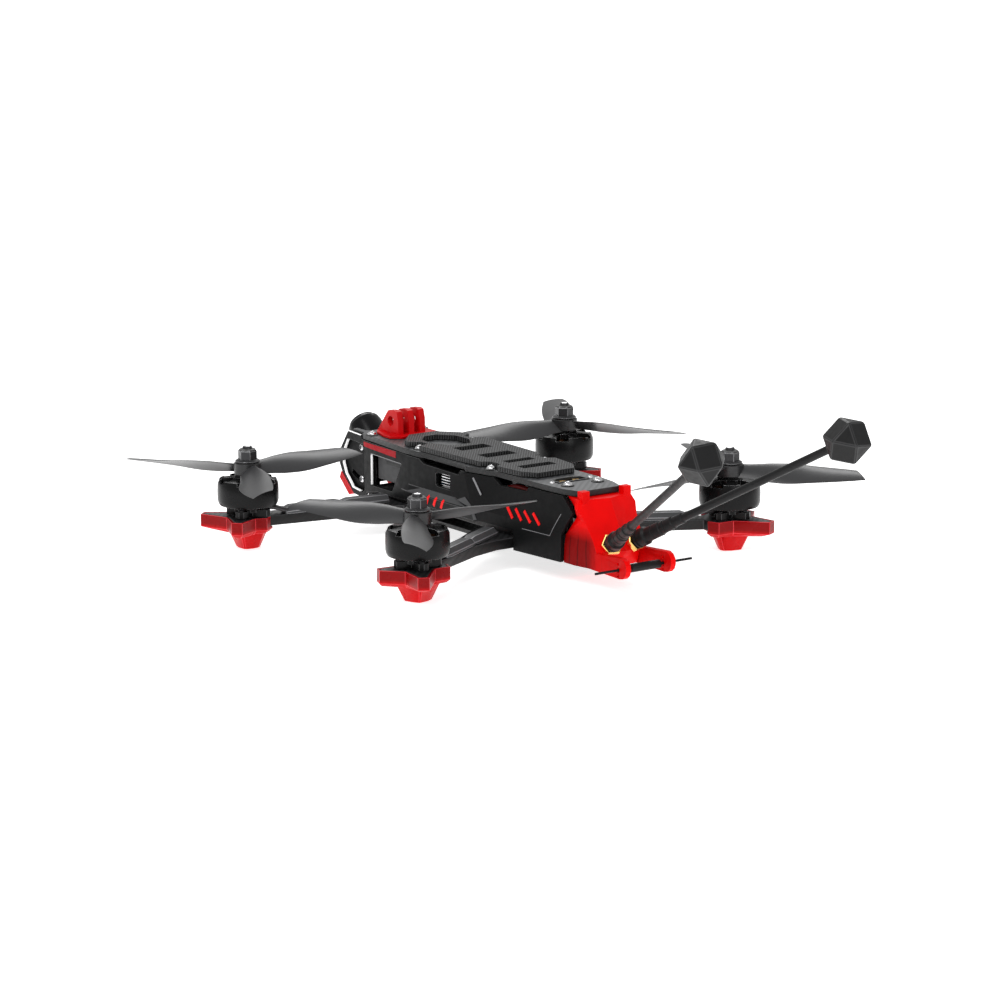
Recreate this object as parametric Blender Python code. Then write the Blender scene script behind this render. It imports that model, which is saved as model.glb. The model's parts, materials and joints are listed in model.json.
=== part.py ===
"""A 5-inch FPV racing drone, built as separate pieces.

Frame: origin on the underside of the bottom plate, midway between the motors; +Z up, the nose points
along -Y and the left side is +X. Sizes below are millimetres; MM turns them into metres.
"""

import math

import bmesh
import bpy
from mathutils import Matrix, Vector

MM = 0.001
GAP = 0.3

# Driving dimensions
FRONT_MOTOR = Vector((90.2, -67.2, 0))
REAR_MOTOR = Vector((86.5, 67.2, 0))
FRONT_ARM_ANGLE = -10.0
REAR_ARM_ANGLE = 26.0
# Each arm's end: motor, arm angle, the turn and reach of its two long lobes, the reach of its short ones
ENDS = {
    "front": (FRONT_MOTOR, FRONT_ARM_ANGLE, (51, 16.6), (-40, 21.2), 9.4),
    "rear": (REAR_MOTOR, REAR_ARM_ANGLE, (37, 20.2), (-46, 16.6), 12.6),
}
LOBE_HALF_WIDTH = 1.3
NECK_LOBE_HALF_WIDTH = 2.0
TIP_NOTCH = 9.6
SIDE_NOTCH = 7.4
CUP_WALL = 1.0
PROP_RADIUS = 64.0
BELL_RADIUS = 14.2
SOLE_Z = -7.7

# Levels of the stack, from the belly up
BOTTOM_PLATE_Z = (0.0, 2.0)
ARM_Z = (2.3, 7.1)
MID_PLATE_Z = (7.4, 9.8)
TOP_PLATE_Z = (31.6, 34.2)
PAD_Z = (34.5, 37.0)

# Motor levels
BASE_Z = 7.4
BELL_Z = (12.7, 24.6)
HUB_Z = 26.3
PROP_Z = (26.6, 32.3)
NUT_Z = (32.6, 38.5)
SHAFT_TOP_Z = 40.0
SHAFT_RADIUS = 2.3
BORE_RADIUS = 2.6
MOUNT_BOLT_RADIUS = 8.0

# Body
STANDOFFS = (("shoulder", 15, -37), ("tail", 8.3, 71))
PANEL_POST = Vector((14.3, -78.2, 0))
COVER_POST = Vector((15, 21, 0))
POST_RADIUS = 2.2
WALL = 1.6
CAMERA_PIVOT = Vector((0, -90, 26.3))
CAMERA_TILT = 40.0
TILT_SLOT_RADIUS = 15.5
LENS_DROP = 5.5
SOCKET_Y = 60.5

# Antennas
JACK = Vector((6.3, 101.3, 12.7))
ANTENNA_SPLAY = 17.2
ANTENNA_RISE = 27.7
HEAD_DISTANCE = 125.0
HEAD_RADIUS = 11.0
HEAD_ROLL = 52.0
PRONG_PIN = Vector((0, 115.6, 4.6))


# ---------------------------------------------------------------- helpers

def clear_scene():
    for obj in list(bpy.data.objects):
        bpy.data.objects.remove(obj, do_unlink=True)


def material(name, color, roughness, metallic=0.0):
    made = bpy.data.materials.new(name)
    made.use_nodes = True
    shader = made.node_tree.nodes["Principled BSDF"]
    shader.inputs["Base Color"].default_value = (*color, 1)
    shader.inputs["Roughness"].default_value = roughness
    shader.inputs["Metallic"].default_value = metallic
    return made


def finish(bm, name, look, parent=None, smooth=None):
    """Turns a bmesh in millimetres into an object in metres, with its faces pointing out."""
    bmesh.ops.remove_doubles(bm, verts=bm.verts, dist=0.001)
    bmesh.ops.recalc_face_normals(bm, faces=bm.faces)
    bmesh.ops.scale(bm, vec=(MM, MM, MM), verts=bm.verts)
    mesh = bpy.data.meshes.new(name)
    bm.to_mesh(mesh)
    bm.free()
    mesh.materials.append(look)
    obj = bpy.data.objects.new(name, mesh)
    bpy.context.scene.collection.objects.link(obj)
    if smooth:
        mesh.shade_smooth()
        mesh.set_sharp_from_angle(angle=math.radians(smooth))
    if parent:
        obj.parent = parent
    return obj


def pivot(name, place, rotation=None):
    """An empty on a joint's axis, which holds the pieces that turn together."""
    empty = bpy.data.objects.new(name, None)
    empty.matrix_world = Matrix.Translation(place * MM) @ (rotation or Matrix.Identity(4))
    bpy.context.scene.collection.objects.link(empty)
    return empty


def combine(obj, others, operation):
    """Unites the object with the others, or cuts them from it, and keeps only the result."""
    for other in others:
        boolean = obj.modifiers.new(operation, "BOOLEAN")
        boolean.operation = operation
        boolean.solver = "EXACT"
        boolean.object = other
    bpy.context.view_layer.update()
    evaluated = obj.evaluated_get(bpy.context.evaluated_depsgraph_get())
    mesh = bpy.data.meshes.new_from_object(evaluated)
    obj.modifiers.clear()
    obj.data = mesh
    for other in others:
        bpy.data.objects.remove(other, do_unlink=True)
    return obj


def along(points, value):
    """Straight-line interpolation through (position, result) points."""
    for (a, low), (b, high) in zip(points, points[1:]):
        if value <= b:
            return low + (high - low) * max(0.0, (value - a) / (b - a))
    return points[-1][1]


def polar(radius, degrees):
    angle = math.radians(degrees)
    return Vector((radius * math.cos(angle), radius * math.sin(angle)))


def arc(centre, radius, start, end, steps):
    turn = (end - start) / steps
    return [Vector(centre) + polar(radius, start + turn * i) for i in range(steps + 1)]


def mirrored(points):
    """The points and their mirror images in x = 0, in one closed loop."""
    return [Vector(p) for p in points] + [Vector((-p[0], p[1])) for p in reversed(points)]


def prism(outline, low, high, holes=()):
    """A bmesh of a flat outline with holes, extruded along Z."""
    bm = bmesh.new()
    edges = []
    for loop in (outline, *holes):
        ring = [bm.verts.new((p[0], p[1], low)) for p in loop]
        edges += [bm.edges.new((a, b)) for a, b in zip(ring, ring[1:] + ring[:1])]
    bmesh.ops.triangle_fill(bm, edges=edges, use_beauty=True, normal=(0, 0, 1))
    top = bmesh.ops.extrude_face_region(bm, geom=list(bm.faces), use_keep_orig=True)["geom"]
    raised = [v for v in top if isinstance(v, bmesh.types.BMVert)]
    bmesh.ops.translate(bm, vec=(0, 0, high - low), verts=raised)
    return bm


def loft(rings):
    """A bmesh through rings of equal length, with its first and last ring capped."""
    bm = bmesh.new()
    made = [[bm.verts.new(p) for p in ring] for ring in rings]
    for below, above in zip(made, made[1:]):
        for i in range(len(below)):
            j = (i + 1) % len(below)
            bm.faces.new((below[i], below[j], above[j], above[i]))
    bm.faces.new(made[0])
    bm.faces.new(made[-1])
    return bm


def turned(profile, steps, phase=0.0):
    """A bmesh of a profile of (radius, height) points turned about Z. A zero radius closes an end."""
    bm = bmesh.new()
    rings = []
    for radius, height in profile:
        if radius == 0:
            rings.append([bm.verts.new((0, 0, height))])
            continue
        angles = (phase + 360 * i / steps for i in range(steps))
        rings.append([bm.verts.new((*polar(radius, a), height)) for a in angles])
    for below, above in zip(rings, rings[1:]):
        for i in range(steps):
            j = (i + 1) % steps
            low = [below[i % len(below)], below[j % len(below)]]
            high = [above[j % len(above)], above[i % len(above)]]
            bm.faces.new(list(dict.fromkeys(low + high)))
    return bm


def tube_profile(inner, outer, low, high, chamfer=0.0):
    """A closed profile for a ring, which starts and ends at the same inner point."""
    return [
        (inner, low), (outer - chamfer, low), (outer, low + chamfer), (outer, high - chamfer),
        (outer - chamfer, high), (inner, high), (inner, low),
    ]


def box(low, high):
    bm = bmesh.new()
    bmesh.ops.create_cube(bm, size=1)
    low, high = Vector(low), Vector(high)
    for v in bm.verts:
        v.co = (low + high) / 2 + Vector([c * s for c, s in zip(v.co, high - low)])
    return bm


def placed(bm, matrix):
    bmesh.ops.transform(bm, matrix=matrix, verts=bm.verts)
    return bm


def along_x(bm):
    """Turns a shape drawn in (y, z) and extruded along Z so that it is extruded along X."""
    return placed(bm, Matrix(((0, 0, 1, 0), (1, 0, 0, 0), (0, 1, 0, 0), (0, 0, 0, 1))))


def rod_x(radius, low, high, y, z, steps=12):
    return along_x(prism(arc((y, z), radius, 0, 360 - 360 / steps, steps - 1), low, high))


def reflect(bm):
    """Mirrors a shape in x = 0."""
    return placed(bm, Matrix.Scale(-1, 4, Vector((1, 0, 0))))


SIDES = (("left", 1), ("right", -1))


def both_sides(name, shape, look, **options):
    """The left piece and its mirror image on the right, as two objects."""
    for side, sign in SIDES:
        bm = shape()
        finish(bm if sign > 0 else reflect(bm), f"{name}_{side}", look, **options)


# ---------------------------------------------------------------- plates and arms

def bottom_plate():
    """The clamp plate under the arms, with a block at its front that carries the nose."""
    half = [(9, -90), (12, -67), (13, -64), (13, 40), (9, 45)]
    plate = finish(prism(mirrored(half), *BOTTOM_PLATE_Z), "bottom_plate", CARBON)
    block = finish(box((-9, -90, 1), (9, -67, ARM_Z[1])), "block", CARBON)
    combine(plate, [block], "UNION")


def mid_plate():
    """The main plate, which lies on the arms."""
    half = [(12, -78), (14.8, -72), (17.4, -40), (17.4, 30), (15.4, 44), (13.2, 75.6)]
    finish(prism(mirrored(half), *MID_PLATE_Z), "mid_plate", CARBON)


def top_plate():
    half = [
        (12.2, -97.5), (13.4, -86), (15.4, -84.6), (16.4, -74), (19, -44), (19, -32), (17.8, -27), (17.8, 4),
        (20, 8), (17.2, 20), (15.2, 27), (15.2, 62), (14, 75), (11, 84.5),
    ]
    outline = mirrored(half)
    socket = mirrored([(5, SOCKET_Y - 4.6), (8.8, SOCKET_Y - 2.4), (8.8, SOCKET_Y + 4.6)])
    plate = finish(prism(outline, *TOP_PLATE_Z, [socket]), "top_plate", CARBON)
    camera_way = mirrored([(9.9, -99), (9.9, -90), (8.4, -88.5)])
    combine(plate, [finish(prism(camera_way, 30, 36), "camera_way", CARBON)], "DIFFERENCE")


def lobe(turn, reach, half_width, angle, centre):
    """The two corners at the end of one lobe of an arm's motor plate."""
    along = polar(1, turn + angle)
    across = Vector((-along.y, along.x)) * half_width
    return [centre.xy + along * reach - across, centre.xy + along * reach + across]


def motor_plate(end, grow=0.0):
    """The outline of an arm's end, in two halves between its tip and its neck: four lobes with notches."""
    motor, angle, (left_turn, left_reach), (right_turn, right_reach), neck_reach = end

    def notch(radius, turn):
        return motor.xy + polar(radius + grow, turn + angle)

    outer, inner = LOBE_HALF_WIDTH + grow, NECK_LOBE_HALF_WIDTH + grow
    left = [
        notch(TIP_NOTCH, 0), *lobe(left_turn, left_reach + grow, outer, angle, motor),
        notch(SIDE_NOTCH, 90), *lobe(135, neck_reach + grow, inner, angle, motor),
    ]
    right = [
        *lobe(225, neck_reach + grow, inner, angle, motor), notch(SIDE_NOTCH, 270),
        *lobe(right_turn, right_reach + grow, outer, angle, motor),
    ]
    return left, right


ARM_EDGES = {
    "front": (
        [(43, -53.2), (28, -47), (20, -43), (1.5, -43)],
        [(76, -70.3), (43, -66.5), (28, -66.5), (1.5, -66.5)],
    ),
    "rear": (
        [(73.5, 64.6), (61, 58.0), (43, 48.8), (28, 44), (1.5, 44)],
        [(78.2, 56.4), (60, 46), (28, 22), (20, 18), (1.5, 18)],
    ),
}


def arms():
    for name, end in ENDS.items():
        left, right = motor_plate(end)
        rear_edge, front_edge = ARM_EDGES[name]
        outline = [*left, *map(Vector, rear_edge), *map(Vector, reversed(front_edge)), *right]
        both_sides(f"arm_{name}", lambda: prism(outline, *ARM_Z), CARBON)


def foot(name, end, sign):
    """A cup round the motor plate of an arm, with a tapered foot below it."""
    motor, angle = end[:2]

    def ring(z, grow):
        left, right = motor_plate(end, grow)
        return [(*p, z) for p in (*left, motor.xy + polar(9 + grow, 180 + angle), *right)]

    def shrunk(z, lobes, notches):
        """A ring below the cup, whose lobes and notches all lie at two radii."""
        ring_points = []
        for x, y, _ in ring(z, 0):
            offset = Vector((x, y)) - motor.xy
            reach = lobes if offset.length > 10.2 else notches
            ring_points.append((*(motor.xy + offset.normalized() * min(reach, offset.length)), z))
        return ring_points

    pocket_z, rim_z = ARM_Z[0] - GAP, ARM_Z[1]
    shape = loft([
        ring(pocket_z, GAP), ring(rim_z, GAP), ring(rim_z, GAP + CUP_WALL), ring(1.3, GAP + CUP_WALL),
        shrunk(-0.2, 17.0, 10.5), shrunk(-0.5, 9.6, 8.4), shrunk(SOLE_Z, 6.0, 5.2),
    ])
    cup = finish(shape, name, FOOT_RED)
    # The arm leaves the cup through a gap in its wall.
    turn = Matrix.Translation(motor) @ Matrix.Rotation(math.radians(angle), 4, "Z")
    way = finish(placed(box((-30, -7.8, pocket_z), (-8.0, 7.8, 30)), turn), "way", FOOT_RED)
    combine(cup, [way], "DIFFERENCE")
    if sign < 0:
        cup.data.transform(Matrix.Scale(-1, 4, Vector((1, 0, 0))))
        cup.data.flip_normals()


def feet():
    for name, end in ENDS.items():
        for side, sign in SIDES:
            foot(f"foot_{name}_{side}", end, sign)


# ---------------------------------------------------------------- motors and propellers

def motor_base(name, place, angle):
    """The fixed half of a motor: four mounting lugs, the bearing tube and the stator on it."""
    lugs = []
    for turn in (45, 135, 225, 315):
        lugs.append(polar(5.2, turn - 45))
        lugs += arc(polar(MOUNT_BOLT_RADIUS, turn), 2.9, turn - 90, turn + 90, 4)
    base = finish(prism(lugs, BASE_Z, 10.6), name, MOTOR_BLACK, smooth=40)
    stator = [
        (0, 9.4), (6.4, 9.4), (6.4, 12.2), (4.4, 13.4), (4.4, 14.6), (12.0, 14.6), (12.0, 22.4),
        (4.4, 22.4), (4.4, 23.4), (3.0, 23.4), (3.0, 11.4), (0, 11.4),
    ]
    combine(base, [finish(turned(stator, 16), "stator", MOTOR_BLACK)], "UNION")
    base.location = place * MM
    base.rotation_euler.z = math.radians(angle)


def bell_mesh():
    """The turning half of a motor: a can with six openings in its top, and the shaft."""
    low, high = BELL_Z
    profile = [
        (0, 14.0), (SHAFT_RADIUS, 14.0), (SHAFT_RADIUS, high - 1.0), (12.6, high - 1.0), (12.6, low),
        (13.4, low), (13.8, low + 0.8), (BELL_RADIUS, low + 6), (13.7, high - 0.6), (13.1, high), (6.2, high + 0.6),
        (5.4, HUB_Z), (SHAFT_RADIUS, HUB_Z), (SHAFT_RADIUS, SHAFT_TOP_Z - 0.5),
        (SHAFT_RADIUS - 0.5, SHAFT_TOP_Z), (0, SHAFT_TOP_Z),
    ]
    bell = finish(turned(profile, 24), "bell", MOTOR_BLACK, smooth=40)
    cutters = []
    for i in range(6):
        opening = arc((0, 0), 12.9, -21, 21, 2) + arc((0, 0), 6.6, 10, -10, 1)
        wedge = placed(prism(opening, high - 4, high + 4), Matrix.Rotation(math.radians(60 * i), 4, "Z"))
        cutters.append(finish(wedge, f"opening_{i}", MOTOR_BLACK))
    return combine(bell, cutters, "DIFFERENCE")


def blade_section(radius):
    """Chord, twist, sweep and rise of a blade at one radius."""
    chords = ((4, 9.0), (10, 9.6), (18, 12.4), (28, 14.8), (38, 14.8), (48, 13.6), (58, 11.4), (64, 9.4))
    chord = along(chords, radius)
    twist = math.radians(along([(4, 36.0), (16, 34.0), (22, 31.0), (29, 27.0), (40, 20.0), (64, 15.0)], radius))
    sweep = along([(4, 0.5), (20, -0.2), (38, -1.6), (50, -2.6), (64, -3.8)], radius)
    return chord, twist, sweep, 0.6 * (radius / PROP_RADIUS) ** 2


def blade():
    """One blade along +X, lifting for a propeller that turns clockwise from above. Its tip is raked."""
    rings = []
    for radius in (4, 9, 14, 22, 32, 42, 52, 60, PROP_RADIUS):
        chord, twist, sweep, rise = blade_section(radius)
        thick = 1.9 - 1.2 * radius / PROP_RADIUS
        rake = 6.5 * along([(42, 0.0), (52, 0.3), (PROP_RADIUS, 1.0)], radius)
        ring = []
        for across, up in ((-0.5, 0), (-0.2, 0.5), (0.25, 0.45), (0.5, 0), (0.25, -0.25), (-0.2, -0.35)):
            chordwise = across * chord
            lift = up * thick - 0.24 * chord * across * across
            y = chordwise * math.cos(twist) + lift * math.sin(twist) + sweep
            z = lift * math.cos(twist) - chordwise * math.sin(twist)
            ring.append((radius - rake * (0.5 - across), y, sum(PROP_Z) / 2 + z + rise))
        rings.append(ring)
    return loft(rings)


def propeller_mesh(hand):
    """Three blades round a hub. hand is +1 for one that turns clockwise from above, or -1."""
    hub = finish(turned(tube_profile(BORE_RADIUS, 6.4, *PROP_Z, 0.6), 24), "hub", PROP_GREY, smooth=40)
    blades = []
    for i in range(3):
        one = placed(blade(), Matrix.Rotation(math.radians(120 * i), 4, "Z"))
        blades.append(finish(one, f"blade_{i}", PROP_GREY, smooth=50))
    combine(hub, blades, "UNION")
    bore = [(0, 20), (BORE_RADIUS, 20), (BORE_RADIUS, 40), (0, 40)]
    combine(hub, [finish(turned(bore, 24), "bore", PROP_GREY)], "DIFFERENCE")
    if hand < 0:
        hub.data.transform(Matrix.Scale(-1, 4, Vector((0, 1, 0))))
        hub.data.flip_normals()
    return hub


def nut_mesh():
    """A hexagon lock nut with a flange below it."""
    low, high = NUT_Z
    flange = finish(turned(tube_profile(BORE_RADIUS, 5.7, low, low + 1.0, 0.2), 24), "nut", STEEL, smooth=40)
    hexagon = tube_profile(BORE_RADIUS, 4.5, low + 0.5, high, 0.4)
    combine(flange, [finish(turned(hexagon, 6), "hexagon", STEEL)], "UNION")
    bore = [(0, 30), (BORE_RADIUS + 0.02, 30), (BORE_RADIUS + 0.02, 41), (0, 41)]
    return combine(flange, [finish(turned(bore, 24), "bore", STEEL)], "DIFFERENCE")


def motors():
    """Four motors. Each has a pivot on its axis, which carries its bell, propeller and nut."""
    bell, nut = bell_mesh(), nut_mesh()
    props = {hand: propeller_mesh(hand) for hand in (1, -1)}
    corners = (
        ("front_left", FRONT_MOTOR, 1, FRONT_ARM_ANGLE, 61, -1),
        ("front_right", FRONT_MOTOR, -1, FRONT_ARM_ANGLE, 3, 1),
        ("rear_left", REAR_MOTOR, 1, REAR_ARM_ANGLE, 59, 1),
        ("rear_right", REAR_MOTOR, -1, REAR_ARM_ANGLE, 7, -1),
    )
    for corner, motor, sign, angle, blade_angle, hand in corners:
        place = Vector((sign * motor.x, motor.y, 0))
        motor_base(f"motor_base_{corner}", place, angle if sign > 0 else 180 - angle)
        spin = pivot(f"rotor_{corner}", place)
        pieces = (
            ("motor_bell", bell, angle), ("propeller", props[hand], blade_angle), ("prop_nut", nut, 15),
        )
        for kind, source, turn in pieces:
            piece = bpy.data.objects.new(f"{kind}_{corner}", source.data)
            piece.parent = spin
            piece.rotation_euler.z = math.radians(turn)
            bpy.context.scene.collection.objects.link(piece)
    for source in (bell, nut, *props.values()):
        bpy.data.objects.remove(source, do_unlink=True)


# ---------------------------------------------------------------- body shell

def front_panel_x(y, z):
    """The outer face of the front side panel: a wedge in plan, with a ridge low on its rear half."""
    base = along([(-108, 14.0), (-97, 14.4), (-75, 16.9), (-38, 19.6), (10, 19.6)], y)
    ridge = along([(8, -0.9), (14.6, 1.4), (17.7, 0.0), (32, 0.0)], z)
    return base + ridge * along([(-52, 0.0), (-38, 1.0), (10, 1.0)], y)


def rear_cover_x(y, z):
    """The outer face of the rear cover, which leans in to the top plate."""
    top = along([(0, 20.9), (8, 20.9), (27, 16.2), (60, 16.2), (75, 15.0), (90, 13.6)], y)
    low = along([(0, 21.4), (45, 19.2), (80, 16.2), (90, 15.2)], y)
    return top + (low - top) * along([(16, 1.0), (31.6, 0.0)], z)


def side_panels(name, outline, holes, face, bends, post):
    """A wall along each side of the body, with a screw post inside it. face(y, z) gives its outer surface."""
    def shape():
        return side_wall(outline, holes, face, *bends)

    both_sides(name, shape, PANEL_BLACK)
    low, high = MID_PLATE_Z[1] + GAP, TOP_PLATE_Z[0] - GAP
    for side, sign in SIDES:
        bm = turned([(0, low), (POST_RADIUS, low), (POST_RADIUS, high), (0, high)], 12, 15)
        placed(bm, Matrix.Translation((sign * post.x, post.y, 0)))
        combine(bpy.data.objects[f"{name}_{side}"], [finish(bm, "post", PANEL_BLACK)], "UNION")


def side_wall(outline, holes, face, bends_y, bends_z):
    bm = prism(outline, 0, WALL, holes)
    for axis, bends in ((0, bends_y), (1, bends_z)):
        normal = Vector((1, 0, 0)) if axis == 0 else Vector((0, 1, 0))
        for bend in bends:
            geom = [*bm.verts, *bm.edges, *bm.faces]
            bmesh.ops.bisect_plane(bm, geom=geom, dist=1e-5, plane_co=normal * bend, plane_no=normal)
    along_x(bm)
    for v in bm.verts:
        v.co.x += face(v.co.y, v.co.z) - WALL
    return bm


def front_panels():
    top = TOP_PLATE_Z[0] - GAP
    outline = [
        (-85.2, top), (-85.8, 33.2), (-99.0, 33.2), (-107.4, 22), (-107.1, 16), (-105.2, 12.7), (-94.2, 3.5),
        (-88, 3.2), (-84, 2.6), (-80.5, 6.4), (-70, 8.4), (-45, 9.4), (-20, 9.4), (14.4, 9.4), (12.8, 15.2),
        (-1.6, 18.9),
        (6.0, top), (3, top), (1.4, 28.9), (-27, 29.4), (-31, top),
    ]
    nose_window = [
        (-99.3, 29.2), (-104.3, 22), (-104.0, 16.6), (-101.7, 11.8), (-95.2, 6.2), (-84, 5.6), (-82.4, 7.2),
        (-82.4, 29.2),
    ]
    front_window = [(-75.5, 25.9), (-75.5, 10.8), (-55.5, 11.2), (-51.5, 17.5), (-46.5, 25.9)]
    vent = [(-17, 26.4), (-17, 21.4), (-15.8, 20.6), (-5.4, 20.6), (-5.4, 27.2), (-15.8, 27.2)]

    bends = (-97, -75, -52, -38), (14.6, 17.7)
    windows = [nose_window, front_window, vent]
    side_panels("side_panel_front", outline, windows, front_panel_x, bends, PANEL_POST)


def rear_covers():
    top = TOP_PLATE_Z[0] - GAP
    outline = [
        (6.4, top), (-1.0, 19.1), (13.1, 15.5), (14.9, 9.6), (20, 10.6), (43.9, 10.6), (44.3, 1.4),
        (76.6, 1.4), (76.8, 14), (83.6, 24.6), (76, top), (52, top), (51, 29.2), (31, 28.6), (25, top),
    ]

    side_panels("side_cover_rear", outline, [], rear_cover_x, ((8, 27, 45, 60, 75), (16,)), COVER_POST)


def nose_bumpers():
    """A soft strip on the lower front edge of each side of the nose."""
    strip = [(-105.6, 12.4), (-94.8, 3.2), (-98.8, 1.9), (-107.0, 9.2)]
    both_sides("nose_bumper", lambda: along_x(prism(strip, 9.6, 14.4)), SOFT_RED)


def battery_pad():
    """The ribbed rest for the battery, with a large front window and four slots."""
    half = [
        (7.2, -57.5), (16, -48), (17.4, -43), (12.4, -40), (12.4, -34), (18.4, -32.5),
        (17.0, 14.5), (12.4, 17.5), (12.4, 24.5), (16.4, 27.5), (14.6, 44), (10, 51),
    ]
    windows = [mirrored([(3.5, -50), (9.5, -43), (9.5, -32), (5, -24)])]
    for y, length, width in ((-15, 8, 8.5), (5, 8, 8.5), (22, 5, 7.5), (36, 6, 9)):
        windows.append(mirrored([(width, y - length / 2), (width, y + length / 2)]))
    finish(prism(mirrored(half), *PAD_Z, windows), "battery_pad", PAD_BLACK)


def standoffs():
    low, high = MID_PLATE_Z[1] + GAP, TOP_PLATE_Z[0] - GAP
    for name, x, y in STANDOFFS:
        for side, sign in SIDES:
            bm = turned([(0, low), (2.5, low), (2.5, high), (0, high)], 8)
            post = finish(bm, f"standoff_{name}_{side}", STEEL, smooth=50)
            post.location = Vector((sign * x, y, 0)) * MM


# ---------------------------------------------------------------- electronics

def circuit_board(name, y, low, half, tall):
    """A square board with a raised block of components on its top."""
    board = [(half, y - half + 3), (half - 3, y - half), (half - 3, y + half), (half, y + half - 3)]
    order = [board[1], board[0], board[3], board[2]]
    plate = finish(prism(mirrored(order), low, low + 1.6), name, BOARD)
    parts = box((-half + 6, y - half + 6, low + 1), (half - 6, y + half - 6, low + tall))
    combine(plate, [finish(parts, "parts", BOARD)], "UNION")


def electronics():
    circuit_board("speed_controller", -6, 12.6, 15.5, 5.0)
    circuit_board("flight_controller", -6, 21.2, 15.5, 4.4)
    circuit_board("receiver", 38, 21.4, 7.5, 3.4)
    finish(box((-14.2, -73.4, 14.0), (14.2, -40, 26.2)), "air_unit", UNIT_GREY)
    can = placed(turned([(0, -9), (4.6, -9), (5, -8.4), (5, 8.6), (4.6, 9), (0, 9)], 16),
                 Matrix.Translation((0, 36, 15.8)) @ Matrix.Rotation(math.pi / 2, 4, "Y"))
    finish(can, "capacitor", UNIT_GREY, smooth=40)


def power_socket():
    """The battery socket in the top plate: a shell with one chamfered side and two pins in it."""
    y = SOCKET_Y
    outer = mirrored([(4.6, y - 4.2), (8.4, y - 2.2), (8.4, y + 4.2)])
    inner = mirrored([(4.0, y - 3.2), (7.4, y - 1.5), (7.4, y + 3.2)])
    shell = finish(prism(outer, 20.5, 34.6), "power_socket", SOCKET_BLACK)
    cavity = finish(prism(inner, 26.5, 36), "cavity", SOCKET_BLACK)
    combine(shell, [cavity], "DIFFERENCE")
    pins = []
    for sign in (1, -1):
        pin = placed(turned([(0, 24), (1.75, 24), (1.75, 33.0), (1.2, 33.8), (0, 33.8)], 12),
                     Matrix.Translation((sign * 3.6, y + 0.2, 0)))
        pins.append(finish(pin, f"pin_{sign}", SOCKET_BLACK))
    combine(shell, pins, "UNION")


# ---------------------------------------------------------------- camera

def camera_bracket():
    """Two fixed cheeks inside the nose, joined by a bar, with a pivot hole and a curved slot."""
    cheek = [(-100.6, 30.4), (-106.2, 22.4), (-105.9, 16.4), (-103.4, 11.8), (-96, 4.9), (-79, 4.9), (-79, 30.4)]
    y, z = CAMERA_PIVOT.y, CAMERA_PIVOT.z
    bracket = finish(along_x(prism(cheek, -12.1, 12.1)), "camera_bracket", PANEL_BLACK)
    hollow = finish(box((-10.9, -120, 0), (10.9, -80.4, 40)), "hollow", PANEL_BLACK)
    window = finish(box((-9.4, -90, 0), (9.4, -70, 25.4)), "window", PANEL_BLACK)
    centre = (y, z)
    slot = arc(centre, TILT_SLOT_RADIUS + 1.3, 236, 296, 6) + arc(centre, TILT_SLOT_RADIUS - 1.3, 296, 236, 6)
    slot = finish(along_x(prism(slot, -20, 20)), "slot", PANEL_BLACK)
    hole = finish(rod_x(1.3, -20, 20, y, z), "hole", PANEL_BLACK)
    combine(bracket, [hollow, window, slot, hole], "DIFFERENCE")


def tilted(direction, across=0.0):
    """A point in (y, z) from the camera's pivot, along and across its line of sight."""
    a = math.radians(CAMERA_TILT)
    return Vector((-math.cos(a) * direction - math.sin(a) * across, math.sin(a) * direction - math.cos(a) * across))


def camera():
    """The camera and the cradle that carries it. All of it turns about the pivot."""
    tilt = pivot("camera_pivot", CAMERA_PIVOT)
    strap = arc((0, 0), 3.2, 10, 170, 4) + arc((0, -TILT_SLOT_RADIUS), 2.6, 190, 350, 4)
    cradle = finish(along_x(prism(strap, -10.5, 10.5)), "camera_cradle", STEEL)
    room = finish(box((-9.7, -20, -13.4), (9.7, 20, 20)), "room", STEEL)
    combine(cradle, [room], "DIFFERENCE")
    studs = [finish(rod_x(1.0, -13.4, -10, 0, z), f"stud_{z}", STEEL) for z in (0, -TILT_SLOT_RADIUS)]
    studs += [finish(rod_x(1.0, 10, 13.4, 0, z), f"peg_{z}", STEEL) for z in (0, -TILT_SLOT_RADIUS)]
    combine(cradle, studs, "UNION").parent = tilt
    front, back = 6.0, -6.0
    low, high = LENS_DROP + 7.0, LENS_DROP - 7.5
    section = [tilted(front, low), tilted(front, high), tilted(back, high), tilted(back, low)]
    finish(along_x(prism(section, -9.4, 9.4)), "camera_housing", UNIT_GREY, parent=tilt)
    barrel = [(0, 6.3), (8.5, 6.3), (8.5, 15.2), (8.0, 17.8), (6.4, 20), (5.0, 20), (4.6, 18.6), (0, 19.4)]
    aim = Matrix.Translation((0, *tilted(0, LENS_DROP))) @ Matrix.Rotation(math.radians(90 - CAMERA_TILT), 4, "X")
    finish(placed(turned(barrel, 24), aim), "camera_lens", GLOSS_BLACK, parent=tilt, smooth=40)


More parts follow.
